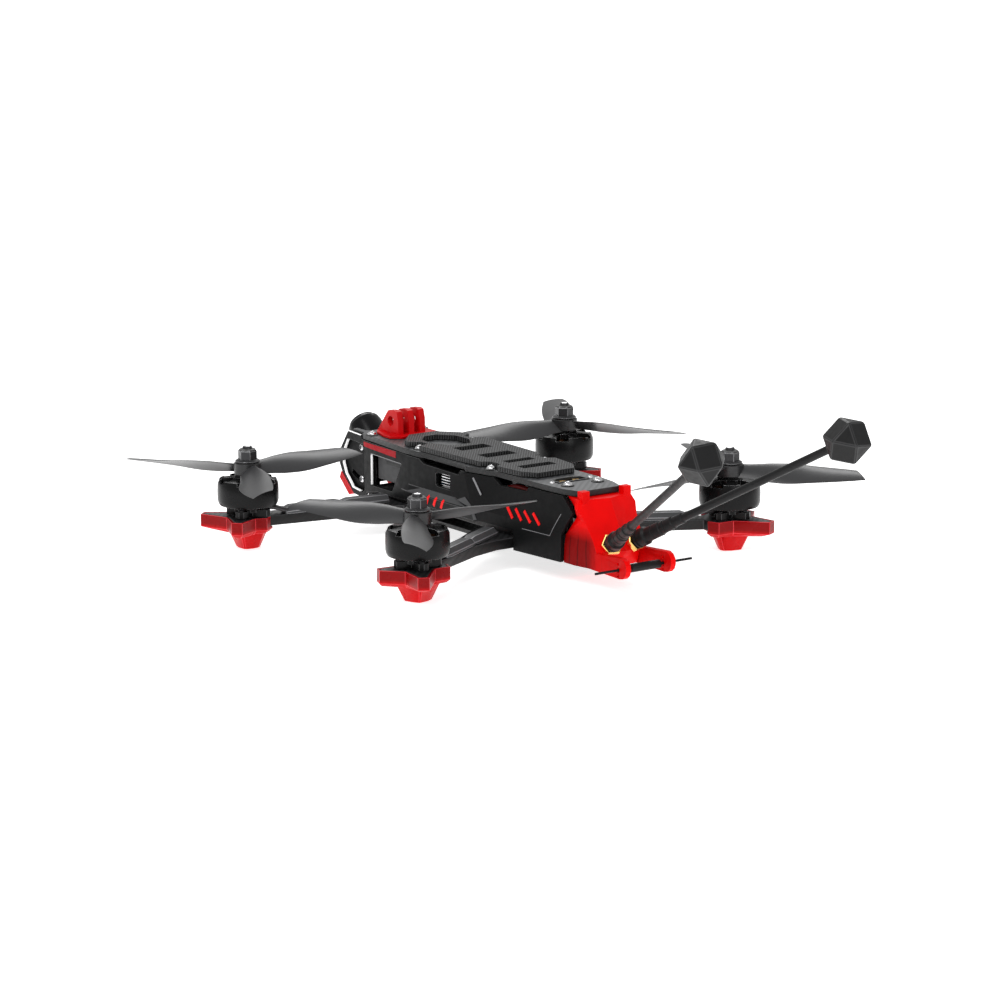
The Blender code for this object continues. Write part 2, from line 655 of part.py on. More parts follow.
def action_camera_mount():
    """Three ears for an action camera's clamp screw, on a flat base."""
    low = TOP_PLATE_Z[1] + GAP
    ear = [
        (-83.5, low), (-82.8, low + 1.2), (-75.6, 44.6), (-74.0, 46.2), (-69, 46.8), (-67, 46.2),
        (-65.8, 42.2), (-65.6, low),
    ]
    base = [(7.7, -83.5), (10.4, -80), (13.2, -70), (13.2, -64.5), (8.6, -61)]
    mount = finish(prism(mirrored(base), low, low + 0.9), "action_camera_mount", SOFT_RED)
    ears = []
    for i in (-1, 0, 1):
        shape = along_x(prism(ear, i * 6.2 - 1.5, i * 6.2 + 1.5))
        ears.append(finish(shape, f"ear_{i}", SOFT_RED))
    combine(mount, ears, "UNION")
    combine(mount, [finish(rod_x(2.5, -20, 20, -72.1, 41.2), "screw_hole", SOFT_RED)], "DIFFERENCE")


# ---------------------------------------------------------------- tail and antennas

def antenna_turn(sign):
    """The rotation that points +Z along an antenna. It leans out, up and back."""
    lean = Matrix.Rotation(math.radians(-(90 - ANTENNA_RISE)), 4, "X")
    return Matrix.Rotation(math.radians(-sign * ANTENNA_SPLAY), 4, "Z") @ lean


def antenna_mount():
    """The tail block: two faces square to the antennas, two ears by the top plate and two prongs."""
    across = math.tan(math.radians(ANTENNA_SPLAY))
    slope = math.tan(math.radians(ANTENNA_RISE)) / math.cos(math.radians(ANTENNA_SPLAY))

    def rear(x, z):
        """The rear faces, 1.2 mm under the jacks."""
        return JACK.y - 1.4 - (x - JACK.x) * across - (z - JACK.z) * slope

    levels = (
        (1.3, 15.0, 77.2, 13.0, 96.6, 97.0), (9.3, 14.6, 77.2, 13.4, None, None),
        (14.0, 14.0, 77.5, 13.4, None, None), (22.8, 12.8, 84.2, 14.4, None, None),
        (27.3, 12.6, 82.0, 16.0, None, None), (31.2, 12.4, 77.0, 14.2, None, None),
    )
    rings = []
    for z, front_x, front_y, rear_x, rear_y, ridge_y in levels:
        rear_y = rear_y or rear(rear_x, z)
        ridge_y = ridge_y or rear(0, z)
        side_y = min(front_y + 8, rear_y - 2)
        half = [(front_x, front_y), (max(front_x, rear_x), side_y), (rear_x, rear_y)]
        ring = [(x, y, z) for x, y in half] + [(0, ridge_y, z)] + [(-x, y, z) for x, y in reversed(half)]
        rings.append(ring)
    block = finish(loft(rings), "antenna_mount", SOFT_RED)
    pieces = []
    for side, sign in SIDES:
        ear = placed(box((-2.0, 85.4, 27), (2.0, 89.0, 34.8)), Matrix.Translation((sign * 11.4, 0, 0)))
        pieces.append(finish(ear, f"ear_{side}", SOFT_RED))
        end = arc((117.0, 5.5), 4.8, 80, -95, 6)
        low, high = sorted((sign * 11.0, sign * 13.6))
        prong = along_x(prism([(92, 8.6), *end, (92, 1.4)], low, high))
        pieces.append(finish(prong, f"prong_{side}", SOFT_RED))
    combine(block, pieces, "UNION")
    cutters = [finish(rod_x(1.1, -20, 20, PRONG_PIN.y, PRONG_PIN.z), "pin_hole", SOFT_RED)]
    for side, sign in SIDES:
        place = Matrix.Translation((sign * JACK.x, JACK.y, JACK.z)) @ antenna_turn(sign)
        bore = placed(turned([(0, -9), (3.4, -9), (3.4, 6), (0, 6)], 16), place)
        cutters.append(finish(bore, f"bore_{side}", SOFT_RED))
    combine(block, cutters, "DIFFERENCE")


def antennas():
    """A threaded jack on each side, and an antenna that turns about the jack's axis."""
    for side, sign in SIDES:
        turn = antenna_turn(sign)
        place = Vector((sign * JACK.x, JACK.y, JACK.z))
        hexagon = finish(turned([(0, -0.9), (5.2, -0.9), (5.2, 1.3), (0, 1.3)], 6), f"antenna_jack_{side}", GOLD)
        barrel = turned([(0, -8), (3.0, -8), (3.0, 0.5), (0, 0.5)], 16)
        jack = combine(hexagon, [finish(barrel, "barrel", GOLD)], "UNION")
        jack.matrix_world = Matrix.Translation(place * MM) @ turn
        swivel = pivot(f"antenna_pivot_{side}", place, turn)
        stem = [
            (0, 1.6), (3.9, 1.6), (4.2, 2.0), (4.2, 7.2), (3.5, 8.0), (3.3, 8.2), (3.3, 16.4), (2.9, 16.8),
            (2.9, 23.6), (2.4, 24), (2.4, 29.4), (1.85, 29.8), (1.85, HEAD_DISTANCE - 8.2), (0, HEAD_DISTANCE - 8.2),
        ]
        finish(turned(stem, 12), f"antenna_stem_{side}", ANTENNA_BLACK, parent=swivel, smooth=40)
        head = bmesh.new()
        a = HEAD_RADIUS / math.sqrt(2)
        corners = [(0, i * a, j * a) for i in (1, -1) for j in (1, -1)]
        for x, y, z in corners:
            for point in ((x, y, z), (y, x, z), (y, z, x)):
                head.verts.new(point)
        bmesh.ops.remove_doubles(head, verts=head.verts, dist=0.01)
        bmesh.ops.convex_hull(head, input=head.verts)
        bmesh.ops.dissolve_limit(head, angle_limit=0.02, verts=head.verts, edges=head.edges)
        bmesh.ops.bevel(head, geom=head.edges, offset=0.5, segments=1, affect="EDGES")
        roll = Matrix.Rotation(math.radians(sign * HEAD_ROLL), 4, "Z")
        placed(head, Matrix.Translation((0, 0, HEAD_DISTANCE)) @ roll)
        finish(head, f"antenna_head_{side}", ANTENNA_BLACK, parent=swivel)


def receiver_antenna():
    """A thin whip through both prongs, with a sleeve at its middle."""
    y, z = PRONG_PIN.y, PRONG_PIN.z
    whip = finish(rod_x(0.6, -27, 26, y, z, 8), "receiver_antenna", ANTENNA_BLACK)
    combine(whip, [finish(rod_x(2.0, -9.0, 7.0, y, z), "sleeve", ANTENNA_BLACK)], "UNION")


# ---------------------------------------------------------------- build

clear_scene()

CARBON = material("carbon_fibre", (0.05, 0.052, 0.055), 0.42)
PANEL_BLACK = material("panel_plastic", (0.02, 0.021, 0.022), 0.55)
FOOT_RED = material("foot_tpu", (0.62, 0.01, 0.015), 0.4)
SOFT_RED = material("tail_tpu", (0.8, 0.004, 0.006), 0.45)
MOTOR_BLACK = material("motor_anodised", (0.015, 0.015, 0.016), 0.35, 0.6)
PROP_GREY = material("prop_polycarbonate", (0.06, 0.06, 0.065), 0.35)
STEEL = material("steel", (0.3, 0.3, 0.31), 0.3, 1.0)
PAD_BLACK = material("pad_rubber", (0.03, 0.03, 0.032), 0.6)
BOARD = material("circuit_board", (0.01, 0.02, 0.04), 0.5)
UNIT_GREY = material("unit_metal", (0.06, 0.06, 0.062), 0.45, 0.4)
SOCKET_BLACK = material("socket_nylon", (0.015, 0.015, 0.015), 0.5)
GLOSS_BLACK = material("lens_black", (0.01, 0.01, 0.012), 0.2)
GOLD = material("gold_plate", (0.9, 0.6, 0.2), 0.25, 1.0)
ANTENNA_BLACK = material("antenna_shell", (0.03, 0.03, 0.032), 0.45)

bottom_plate()
mid_plate()
top_plate()
arms()
feet()
motors()
front_panels()
rear_covers()
nose_bumpers()
battery_pad()
standoffs()
electronics()
power_socket()
camera_bracket()
camera()
action_camera_mount()
antenna_mount()
antennas()
receiver_antenna()
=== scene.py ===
"""The looks of a 5-inch FPV racing drone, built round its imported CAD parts.

Shapes are drawn in millimetres in the frame of the CAD: +Z up, the nose along -Y, the left side +X.
MM turns them into metres. Joint axes, and the heights of plate and arms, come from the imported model.
"""

import json
import math

import bmesh
import bpy
from mathutils import Matrix, Vector

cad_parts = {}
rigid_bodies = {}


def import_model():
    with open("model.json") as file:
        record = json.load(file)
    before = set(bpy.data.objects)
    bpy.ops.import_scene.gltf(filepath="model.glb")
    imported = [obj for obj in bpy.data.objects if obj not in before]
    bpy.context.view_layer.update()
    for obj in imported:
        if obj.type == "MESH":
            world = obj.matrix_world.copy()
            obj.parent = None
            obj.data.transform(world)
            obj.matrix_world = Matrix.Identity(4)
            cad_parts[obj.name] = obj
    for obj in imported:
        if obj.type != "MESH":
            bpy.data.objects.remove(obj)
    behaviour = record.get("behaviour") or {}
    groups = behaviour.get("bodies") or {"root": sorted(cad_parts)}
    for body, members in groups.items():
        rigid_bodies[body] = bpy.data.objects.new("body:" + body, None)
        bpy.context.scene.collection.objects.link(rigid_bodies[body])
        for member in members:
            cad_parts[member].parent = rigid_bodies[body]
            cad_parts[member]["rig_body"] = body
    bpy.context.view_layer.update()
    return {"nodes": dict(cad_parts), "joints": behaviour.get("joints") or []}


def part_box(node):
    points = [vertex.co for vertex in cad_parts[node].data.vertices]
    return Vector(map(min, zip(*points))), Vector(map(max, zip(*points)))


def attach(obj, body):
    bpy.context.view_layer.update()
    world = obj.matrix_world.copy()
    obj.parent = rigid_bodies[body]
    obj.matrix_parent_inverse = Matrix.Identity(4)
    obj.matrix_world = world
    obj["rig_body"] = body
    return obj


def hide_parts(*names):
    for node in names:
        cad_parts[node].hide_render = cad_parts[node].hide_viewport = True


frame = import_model()

MM = 0.001
LAYER_PITCH = 0.25  # of the printed plastic
RIB_PITCH = 1.15  # of the battery pad
TILT_SLOT_RADIUS = 15.5
BLADE_HEIGHT = 29.45
BLADE_ROOT = 4
BLADE_TIP = 64
BLADES = 3
MAGNETS = 14
COILS = 12
SIDES = (("left", 1), ("right", -1))
ENDS = ("front", "rear")
CORNERS = [(f"{end}_{side}", end, sign) for end in ENDS for side, sign in SIDES]


def low_of(node):
    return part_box(node)[0] / MM


def high_of(node):
    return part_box(node)[1] / MM


AXES = {j["child"]: Vector(j["pos_m"]) / MM for j in frame["joints"]}
# Degrees that the bolts and the bell openings of a motor are turned by.
ARM_TURN = {"front": -10.0, "rear": 26.0}
# Degrees that each propeller is turned by in the photo, and which of the two hands it is.
BLADE_TURN = {"front_left": (61, -1), "front_right": (3, 1), "rear_left": (59, 1), "rear_right": (7, -1)}
PLATE_TOP = high_of("top_plate").z
ARM_TOP = high_of("arm_front_left").z


# ---------------------------------------------------------------- shapes

def polar(radius, degrees):
    angle = math.radians(degrees)
    return Vector((radius * math.cos(angle), radius * math.sin(angle)))


def arc(centre, radius, start, end, steps):
    turn = (end - start) / steps
    return [Vector(centre) + polar(radius, start + turn * i) for i in range(steps + 1)]


def along(points, value):
    """Straight-line interpolation through (position, result) points."""
    for (a, low), (b, high) in zip(points, points[1:]):
        if value <= b:
            return low + (high - low) * max(0.0, (value - a) / (b - a))
    return points[-1][1]


def flowing(points, value):
    """Smooth interpolation through (position, result) points."""
    last = len(points) - 1
    for i in range(last):
        (a, p1), (b, p2) = points[i], points[i + 1]
        if value <= b or i == last - 1:
            t = min(max((value - a) / (b - a), 0.0), 1.0)
            p0, p3 = points[max(i - 1, 0)][1], points[min(i + 2, last)][1]
            curve = 2 * p0 - 5 * p1 + 4 * p2 - p3
            bend = 3 * p1 - p0 - 3 * p2 + p3
            return 0.5 * (2 * p1 + (p2 - p0) * t + curve * t * t + bend * t ** 3)


def prism(outline, low, high, holes=()):
    bm = bmesh.new()
    edges = []
    for loop in (outline, *holes):
        ring = [bm.verts.new((p[0], p[1], low)) for p in loop]
        edges += [bm.edges.new((a, b)) for a, b in zip(ring, ring[1:] + ring[:1])]
    bmesh.ops.triangle_fill(bm, edges=edges, use_beauty=True, normal=(0, 0, 1))
    top = bmesh.ops.extrude_face_region(bm, geom=list(bm.faces), use_keep_orig=True)["geom"]
    raised = [v for v in top if isinstance(v, bmesh.types.BMVert)]
    bmesh.ops.translate(bm, vec=(0, 0, high - low), verts=raised)
    bmesh.ops.dissolve_limit(bm, angle_limit=0.01, verts=bm.verts, edges=bm.edges)
    return bm


def loft(rings, closed=False):
    bm = bmesh.new()
    made = [[bm.verts.new(p) for p in ring] for ring in rings]
    pairs = list(zip(made, made[1:]))
    if closed:
        pairs.append((made[-1], made[0]))
    for below, above in pairs:
        for i in range(len(below)):
            j = (i + 1) % len(below)
            bm.faces.new((below[i], below[j], above[j], above[i]))
    if not closed:
        bm.faces.new(made[0])
        bm.faces.new(made[-1])
    return bm


def turned(profile, steps=64, phase=0.0):
    """A profile of (radius, height) points turned about Z. A zero radius closes an end."""
    bm = bmesh.new()
    rings = []
    for radius, height in profile:
        if radius == 0:
            rings.append([bm.verts.new((0, 0, height))])
            continue
        angles = (phase + 360 * i / steps for i in range(steps))
        rings.append([bm.verts.new((*polar(radius, a), height)) for a in angles])
    for below, above in zip(rings, rings[1:]):
        for i in range(steps):
            j = (i + 1) % steps
            corners = [
                below[i % len(below)], below[j % len(below)],
                above[j % len(above)], above[i % len(above)],
            ]
            if len(set(corners)) > 2:
                bm.faces.new(list(dict.fromkeys(corners)))
    return bm


def ring_profile(inner, outer, low, high, chamfer=0.2):
    return [
        (inner, low), (outer - chamfer, low), (outer, low + chamfer), (outer, high - chamfer),
        (outer - chamfer, high), (inner, high), (inner, low),
    ]


def box(low, high):
    bm = bmesh.new()
    bmesh.ops.create_cube(bm, size=1)
    low, high = Vector(low), Vector(high)
    for v in bm.verts:
        v.co = (low + high) / 2 + Vector([c * s for c, s in zip(v.co, high - low)])
    return bm


def placed(bm, matrix):
    bmesh.ops.transform(bm, matrix=matrix, verts=bm.verts)
    return bm


def moved(bm, x, y, z=0.0, turn=0.0):
    return placed(bm, Matrix.Translation((x, y, z)) @ Matrix.Rotation(math.radians(turn), 4, "Z"))


def along_x(bm):
    """Turns a shape drawn in (y, z) and extruded along Z so that it is extruded along X."""
    return placed(bm, Matrix(((0, 0, 1, 0), (1, 0, 0, 0), (0, 1, 0, 0), (0, 0, 0, 1))))


def sided(bm, sign):
    """A shape drawn for the left side (sign 1), or its mirror image for the right side (sign -1)."""
    return bm if sign > 0 else placed(bm, Matrix.Scale(-1, 4, Vector((1, 0, 0))))


def joined(shapes):
    """One bmesh that holds all of the shapes."""
    whole = bmesh.new()
    for shape in shapes:
        mesh = bpy.data.meshes.new("part")
        shape.to_mesh(mesh)
        shape.free()
        whole.from_mesh(mesh)
        bpy.data.meshes.remove(mesh)
    return whole


def pipe(points, radius, sides=12):
    """A round tube through the points, with its ends capped."""
    points = [Vector(p) for p in points]
    rings = []
    for i, point in enumerate(points):
        forward = (points[min(i + 1, len(points) - 1)] - points[max(i - 1, 0)]).normalized()
        side = forward.cross(Vector((0, 0, 1)) if abs(forward.z) < 0.9 else Vector((1, 0, 0))).normalized()
        up = side.cross(forward)
        angles = (2 * math.pi * k / sides for k in range(sides))
        rings.append([point + (side * math.cos(a) + up * math.sin(a)) * radius for a in angles])
    return loft(rings)


def smooth_path(points):
    """Points along a smooth curve through the given ones."""
    steps = 8
    keys = [[(i, p[axis]) for i, p in enumerate(points)] for axis in range(3)]
    count = (len(points) - 1) * steps
    return [[flowing(key, i / steps) for key in keys] for i in range(count + 1)]


# ---------------------------------------------------------------- pieces

def round_edges(obj, width, material):
    """Rounds the sharp edges of an object. The width is in metres. Material -1 keeps that of the faces."""
    rounding = obj.modifiers.new("rounding", "BEVEL")
    rounding.width = width
    rounding.segments = 2
    rounding.limit_method = "ANGLE"
    rounding.angle_limit = math.radians(24)
    rounding.harden_normals = True
    rounding.material = material


def piece(bm, name, look, body="frame", replaces=(), edge=None, bevel=0.0, smooth=35, unit=MM):
    """Makes a piece of the object. A bevel rounds its sharp edges, in the edge look if there is one.

    The bevel is in millimetres, smooth is the angle in degrees above which an edge stays sharp, and unit is
    the length of one unit of the shape, in metres.
    """
    bmesh.ops.remove_doubles(bm, verts=bm.verts, dist=1e-6 / unit)
    bmesh.ops.recalc_face_normals(bm, faces=bm.faces)
    bmesh.ops.scale(bm, vec=(unit, unit, unit), verts=bm.verts)
    mesh = bpy.data.meshes.new(name)
    bm.to_mesh(mesh)
    bm.free()
    mesh.materials.append(look)
    obj = bpy.data.objects.new(name, mesh)
    bpy.context.scene.collection.objects.link(obj)
    mesh.shade_smooth()
    mesh.set_sharp_from_angle(angle=math.radians(smooth))
    if bevel:
        if edge:
            mesh.materials.append(edge)
        round_edges(obj, bevel * MM, 1 if edge else -1)
    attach(obj, body)
    if replaces:
        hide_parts(*replaces)
    return obj


def refined(node, look, edge=None, bevel=0.3, smooth=35):
    """A finished surface over a CAD node: the same shape, with rounded edges and a real material."""
    source = frame["nodes"][node]
    bm = bmesh.new()
    bm.from_mesh(source.data)
    bmesh.ops.remove_doubles(bm, verts=bm.verts, dist=1e-6)
    bmesh.ops.dissolve_limit(bm, angle_limit=0.012, verts=bm.verts, edges=bm.edges)
    body = source["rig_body"]
    return piece(bm, f"{node}_surface", look, body, [node], edge, bevel, smooth, unit=1.0)


def cut(obj, cutters):
    """Cuts shapes, drawn in millimetres, from a bevelled piece. The bevel then follows the cut edges."""
    hold = []
    for i, bm in enumerate(cutters):
        bmesh.ops.recalc_face_normals(bm, faces=bm.faces)
        bmesh.ops.scale(bm, vec=(MM, MM, MM), verts=bm.verts)
        mesh = bpy.data.meshes.new(f"cutter_{i}")
        bm.to_mesh(mesh)
        bm.free()
        cutter = bpy.data.objects.new(f"cutter_{i}", mesh)
        bpy.context.scene.collection.objects.link(cutter)
        boolean = obj.modifiers.new("cut", "BOOLEAN")
        boolean.solver = "EXACT"
        boolean.operation = "DIFFERENCE"
        boolean.object = cutter
        hold.append(cutter)
    rounding = obj.modifiers["rounding"]
    width, material = rounding.width, rounding.material
    obj.modifiers.remove(rounding)
    bpy.context.view_layer.update()
    mesh = bpy.data.meshes.new_from_object(obj.evaluated_get(bpy.context.evaluated_depsgraph_get()))
    obj.modifiers.clear()
    obj.data = mesh
    for cutter in hold:
        bpy.data.objects.remove(cutter, do_unlink=True)
    round_edges(obj, width, material)


# ---------------------------------------------------------------- materials

def new_look(name, color, roughness, metallic=0.0, specular=0.3, transmission=0.0, glow=0.0):
    made = bpy.data.materials.new(name)
    made.use_nodes = True
    shader = made.node_tree.nodes["Principled BSDF"]
    shader.inputs["Base Color"].default_value = (*color, 1)
    shader.inputs["Roughness"].default_value = roughness
    shader.inputs["Metallic"].default_value = metallic
    shader.inputs["Specular IOR Level"].default_value = specular
    shader.inputs["Transmission Weight"].default_value = transmission
    shader.inputs["Emission Color"].default_value = (*color, 1)
    shader.inputs["Emission Strength"].default_value = glow
    return made, shader


def node(tree, kind, **settings):
    made = tree.nodes.new(kind)
    for key, value in settings.items():
        if key.startswith("in_"):
            made.inputs[key[3:].replace("_", " ")].default_value = value
        else:
            setattr(made, key, value)
    return made


def object_space(tree, turn=(0, 0, 0)):
    place = node(tree, "ShaderNodeTexCoord")
    mapping = node(tree, "ShaderNodeMapping")
    mapping.inputs["Rotation"].default_value = [math.radians(a) for a in turn]
    tree.links.new(place.outputs["Object"], mapping.inputs["Vector"])
    return mapping.outputs["Vector"]


def noise(tree, space, per_metre, detail=3.0):
    made = node(tree, "ShaderNodeTexNoise", in_Scale=per_metre, in_Detail=detail)
    tree.links.new(space, made.inputs["Vector"])
    return made.outputs["Fac"]


def bands(tree, space, pitch_mm, direction="X"):
    """Sine bands of that pitch along one axis of the space."""
    scale = math.pi / 10 / (pitch_mm * MM)
    made = node(tree, "ShaderNodeTexWave", bands_direction=direction, in_Scale=scale)
    tree.links.new(space, made.inputs["Vector"])
    return made.outputs["Fac"]


def ranged(tree, value, low, high, start=0.0, end=1.0):
    made = node(tree, "ShaderNodeMapRange")
    for key, number in (("From Min", start), ("From Max", end), ("To Min", low), ("To Max", high)):
        made.inputs[key].default_value = number
    tree.links.new(value, made.inputs["Value"])
    return made.outputs["Result"]


def tint(tree, value, dark, light):
    made = node(tree, "ShaderNodeMix", data_type="RGBA")
    made.inputs["A"].default_value = (*dark, 1)
    made.inputs["B"].default_value = (*light, 1)
    tree.links.new(value, made.inputs["Factor"])
    return made.outputs["Result"]


def product(tree, *values):
    result = values[0]
    for value in values[1:]:
        made = node(tree, "ShaderNodeMath", operation="MULTIPLY")
        tree.links.new(result, made.inputs[0])
        tree.links.new(value, made.inputs[1])
        result = made.outputs["Value"]
    return result


def facing(tree, axis):
    """One axis of the direction that each point of the surface faces, in the frame of the object."""
    parts = node(tree, "ShaderNodeSeparateXYZ")
    tree.links.new(node(tree, "ShaderNodeTexCoord").outputs["Normal"], parts.inputs["Vector"])
    return parts.outputs[axis]


def bump(tree, shader, value, height_mm, strength=1.0):
    made = node(tree, "ShaderNodeBump", in_Strength=strength, in_Distance=height_mm * MM)
    tree.links.new(value, made.inputs["Height"])
    old = shader.inputs["Normal"].links
    if old:
        tree.links.new(old[0].from_socket, made.inputs["Normal"])
    tree.links.new(made.outputs["Normal"], shader.inputs["Normal"])


def scaled(color, factor):
    return [min(c * factor, 1.0) for c in color]


def plain(name, color, roughness, grain_mm=0.5, height_mm=0.02, vary=0.12, rough_vary=0.08, **settings):
    """A moulded or machined finish: patches of slightly different colour and gloss over a fine grain."""
    made, shader = new_look(name, color, roughness, **settings)
    tree = made.node_tree
    space = object_space(tree)
    patches = noise(tree, space, 90)
    color_out = tint(tree, patches, scaled(color, 1 - vary), scaled(color, 1 + vary))
    tree.links.new(color_out, shader.inputs["Base Color"])
    wear = noise(tree, space, 350, 4)
    rough_out = ranged(tree, wear, roughness - rough_vary, roughness + rough_vary, 0.3, 0.7)
    tree.links.new(rough_out, shader.inputs["Roughness"])
    bump(tree, shader, noise(tree, space, 1 / (grain_mm * MM), 2), height_mm, 0.5)
    return made


def carbon(name, dark, light, roughness):
    """Woven carbon fibre: a twill on the flat faces that face up, and painted shade that makes the cut sides
    and the undersides near black.
    """
    made, shader = new_look(name, dark, roughness, specular=0.35)
    tree = made.node_tree
    space = object_space(tree)
    twill = bands(tree, space, 0.9, "DIAGONAL")
    cross = bands(tree, object_space(tree, turn=(0, 0, 90)), 1.8, "DIAGONAL")
    weave = ranged(tree, product(tree, twill, cross), 0.0, 1.0, 0.05, 0.6)
    patches = ranged(tree, noise(tree, space, 60), 0.7, 1.2, 0.3, 0.7)
    woven = tint(tree, product(tree, weave, patches), dark, light)
    # Painted shade: faces that do not face up are near black.
    lit_share_by_facing = ranged(tree, facing(tree, "Z"), 0.0, 1.0, 0.3, 0.8)
    weave_over_painted_shade = tint(tree, lit_share_by_facing, scaled(dark, 0.25), light)
    tree.links.new(woven, weave_over_painted_shade.node.inputs["B"])
    tree.links.new(weave_over_painted_shade, shader.inputs["Base Color"])
    tree.links.new(ranged(tree, weave, roughness + 0.06, roughness - 0.06), shader.inputs["Roughness"])
    bump(tree, shader, weave, 0.03, 0.5)
    return made


def ribbed(name, dark, light, pitch, height, turn):
    """Rubber with straight ridges that run at a set turn. The ridges are painted lighter and the grooves
    between them darker: a painted highlight and painted shade over the bumped ridges.
    """
    made, shader = new_look(name, dark, 0.55, specular=0.3)
    tree = made.node_tree
    ridges = bands(tree, object_space(tree, turn=(0, 0, turn)), pitch)
    shape = ranged(tree, ridges, 0.0, 1.0, 0.25, 0.7)
    # Painted light and shade: ridge tops lighter, grooves darker.
    tree.links.new(tint(tree, shape, dark, light), shader.inputs["Base Color"])
    bump(tree, shader, shape, height)
    bump(tree, shader, noise(tree, object_space(tree), 1500), 0.02, 0.4)
    return made


def place_mm(tree, space, axis):
    """Where each point of the surface lies along one axis, in millimetres."""
    parts = node(tree, "ShaderNodeSeparateXYZ")
    tree.links.new(space, parts.inputs["Vector"])
    return ranged(tree, parts.outputs[axis], 0.0, 1000.0)


def shadow_of_arm(tree, space):
    """How dark the wall of a foot's cup is where the arm shows through it."""
    return ranged(tree, place_mm(tree, space, "Z"), 0.0, 0.62, 1.2, 3.0)


def darker_sides(tree, space):
    """How dark the tail block is: its low side walls are in shade, with upright grooves."""
    aside = node(tree, "ShaderNodeMath", operation="ABSOLUTE")
    tree.links.new(facing(tree, "X"), aside.inputs[0])
    side = ranged(tree, aside.outputs["Value"], 0.0, 1.0, 0.55, 0.85)
    low = ranged(tree, place_mm(tree, space, "Z"), 1.0, 0.0, 13.0, 20.0)
    block = ranged(tree, place_mm(tree, space, "Y"), 1.0, 0.45, 94.0, 100.0)
    grooves = ranged(tree, bands(tree, space, 5.6, "Y"), 0.84, 1.0, 0.92, 1.0)
    return product(tree, side, low, block, grooves)


def printed(name, color, roughness, transmission=0.0, specular=0.15, shade=None):
    """Soft printed plastic with fine layer lines. shade says where it is darker."""
    made, shader = new_look(name, color, roughness, specular=specular, transmission=transmission)
    tree = made.node_tree
    space = object_space(tree)
    shades = ranged(tree, noise(tree, space, 120), 0.0, 1.0, 0.35, 0.65)
    color_out = tint(tree, shades, scaled(color, 0.95), scaled(color, 1.04))
    if shade:
        darkened = tint(tree, shade(tree, space), color, scaled(color, 0.12))
        tree.links.new(color_out, darkened.node.inputs["A"])
        color_out = darkened
    tree.links.new(color_out, shader.inputs["Base Color"])
    bump(tree, shader, bands(tree, space, LAYER_PITCH, "Z"), 0.006, 0.4)
    bump(tree, shader, noise(tree, space, 900, 2), 0.006, 0.3)
    wear = noise(tree, space, 260, 3)
    rough_out = ranged(tree, wear, roughness - 0.08, roughness + 0.1, 0.3, 0.7)
    tree.links.new(rough_out, shader.inputs["Roughness"])
    return made


PLATE = carbon("carbon_plate", (0.055, 0.057, 0.06), (0.09, 0.093, 0.097), 0.4)
ARM = carbon("carbon_arm", (0.006, 0.006, 0.0065), (0.022, 0.0225, 0.024), 0.42)
# A light grey for rounded edges and thin lines on the black panels: a painted highlight.
EDGE_HIGHLIGHT = plain("painted_edge_highlight", (0.2, 0.2, 0.21), 0.35, specular=0.5)
# A grey that is lighter than the black bodies it rims: a dim painted highlight on their rounded edges.
DIM_EDGE_HIGHLIGHT = plain("painted_dim_edge_highlight", (0.035, 0.035, 0.037), 0.35, specular=0.4)
# White that glows: painted highlights along the rim of the nose and the edge of the window.
GLOWING_HIGHLIGHT = plain("painted_glowing_highlight", (1.0, 1.0, 1.0), 0.3, specular=0.6, vary=0.05, glow=0.35)
PANEL = plain("panel_black", (0.0045, 0.0047, 0.005), 0.5, specular=0.1)
# A lighter copy of the panel black: painted light on faces and facets that turn towards the lamps.
PANEL_PAINTED_LIGHT = plain("panel_painted_light", (0.05, 0.051, 0.053), 0.5, specular=0.3)
FOOT = printed("foot_red", (0.52, 0.0, 0.002), 0.32, transmission=0.06, specular=0.1, shade=shadow_of_arm)
# A lighter red for the rounded edges of the feet and the nose bumpers: a painted highlight.
FOOT_EDGE_HIGHLIGHT = printed("foot_red_painted_highlight", (0.75, 0.02, 0.035), 0.3, specular=0.4)
BUMPER = printed("bumper_red", (0.48, 0.002, 0.005), 0.4, specular=0.12)
TAIL = printed("tail_red", (0.74, 0.0, 0.0), 0.5, specular=0.08, shade=darker_sides)
# A lighter red for the rounded edges of the tail block: a painted highlight.
TAIL_EDGE_HIGHLIGHT = printed("tail_red_painted_highlight", (0.82, 0.01, 0.012), 0.4, specular=0.2)
EARS = printed("ear_red", (0.62, 0.0, 0.002), 0.42, transmission=0.1, specular=0.12)
# A lighter red for the rounded edges of the camera mount: a painted highlight.
EARS_EDGE_HIGHLIGHT = printed("ear_red_painted_highlight", (0.75, 0.01, 0.015), 0.36, specular=0.3)
STRIPE_RED = plain("stripe_red", (0.85, 0.008, 0.008), 0.5, specular=0.1, vary=0.06)
STRIPE_DIM = plain("stripe_dim_red", (0.36, 0.004, 0.01), 0.5, specular=0.08)
MOTOR = plain("motor_black", (0.004, 0.004, 0.0042), 0.28, grain_mm=0.6, height_mm=0.0, specular=0.14,
              rough_vary=0.02)
MOTOR_EDGE = plain("motor_chamfer", (0.5, 0.5, 0.51), 0.28, metallic=0.7)
COPPER = plain("winding_copper", (0.09, 0.04, 0.02), 0.35, metallic=0.8)
PROP = plain("prop_smoke", (0.036, 0.036, 0.0375), 0.32, grain_mm=2.0, height_mm=0.0, specular=0.3,
             vary=0.04, rough_vary=0.01)
PROP_EDGE = plain("prop_hub", (0.018, 0.018, 0.019), 0.3, specular=0.35)
NUT = plain("nut_black", (0.035, 0.035, 0.037), 0.32, metallic=0.5, grain_mm=0.2, height_mm=0.003)
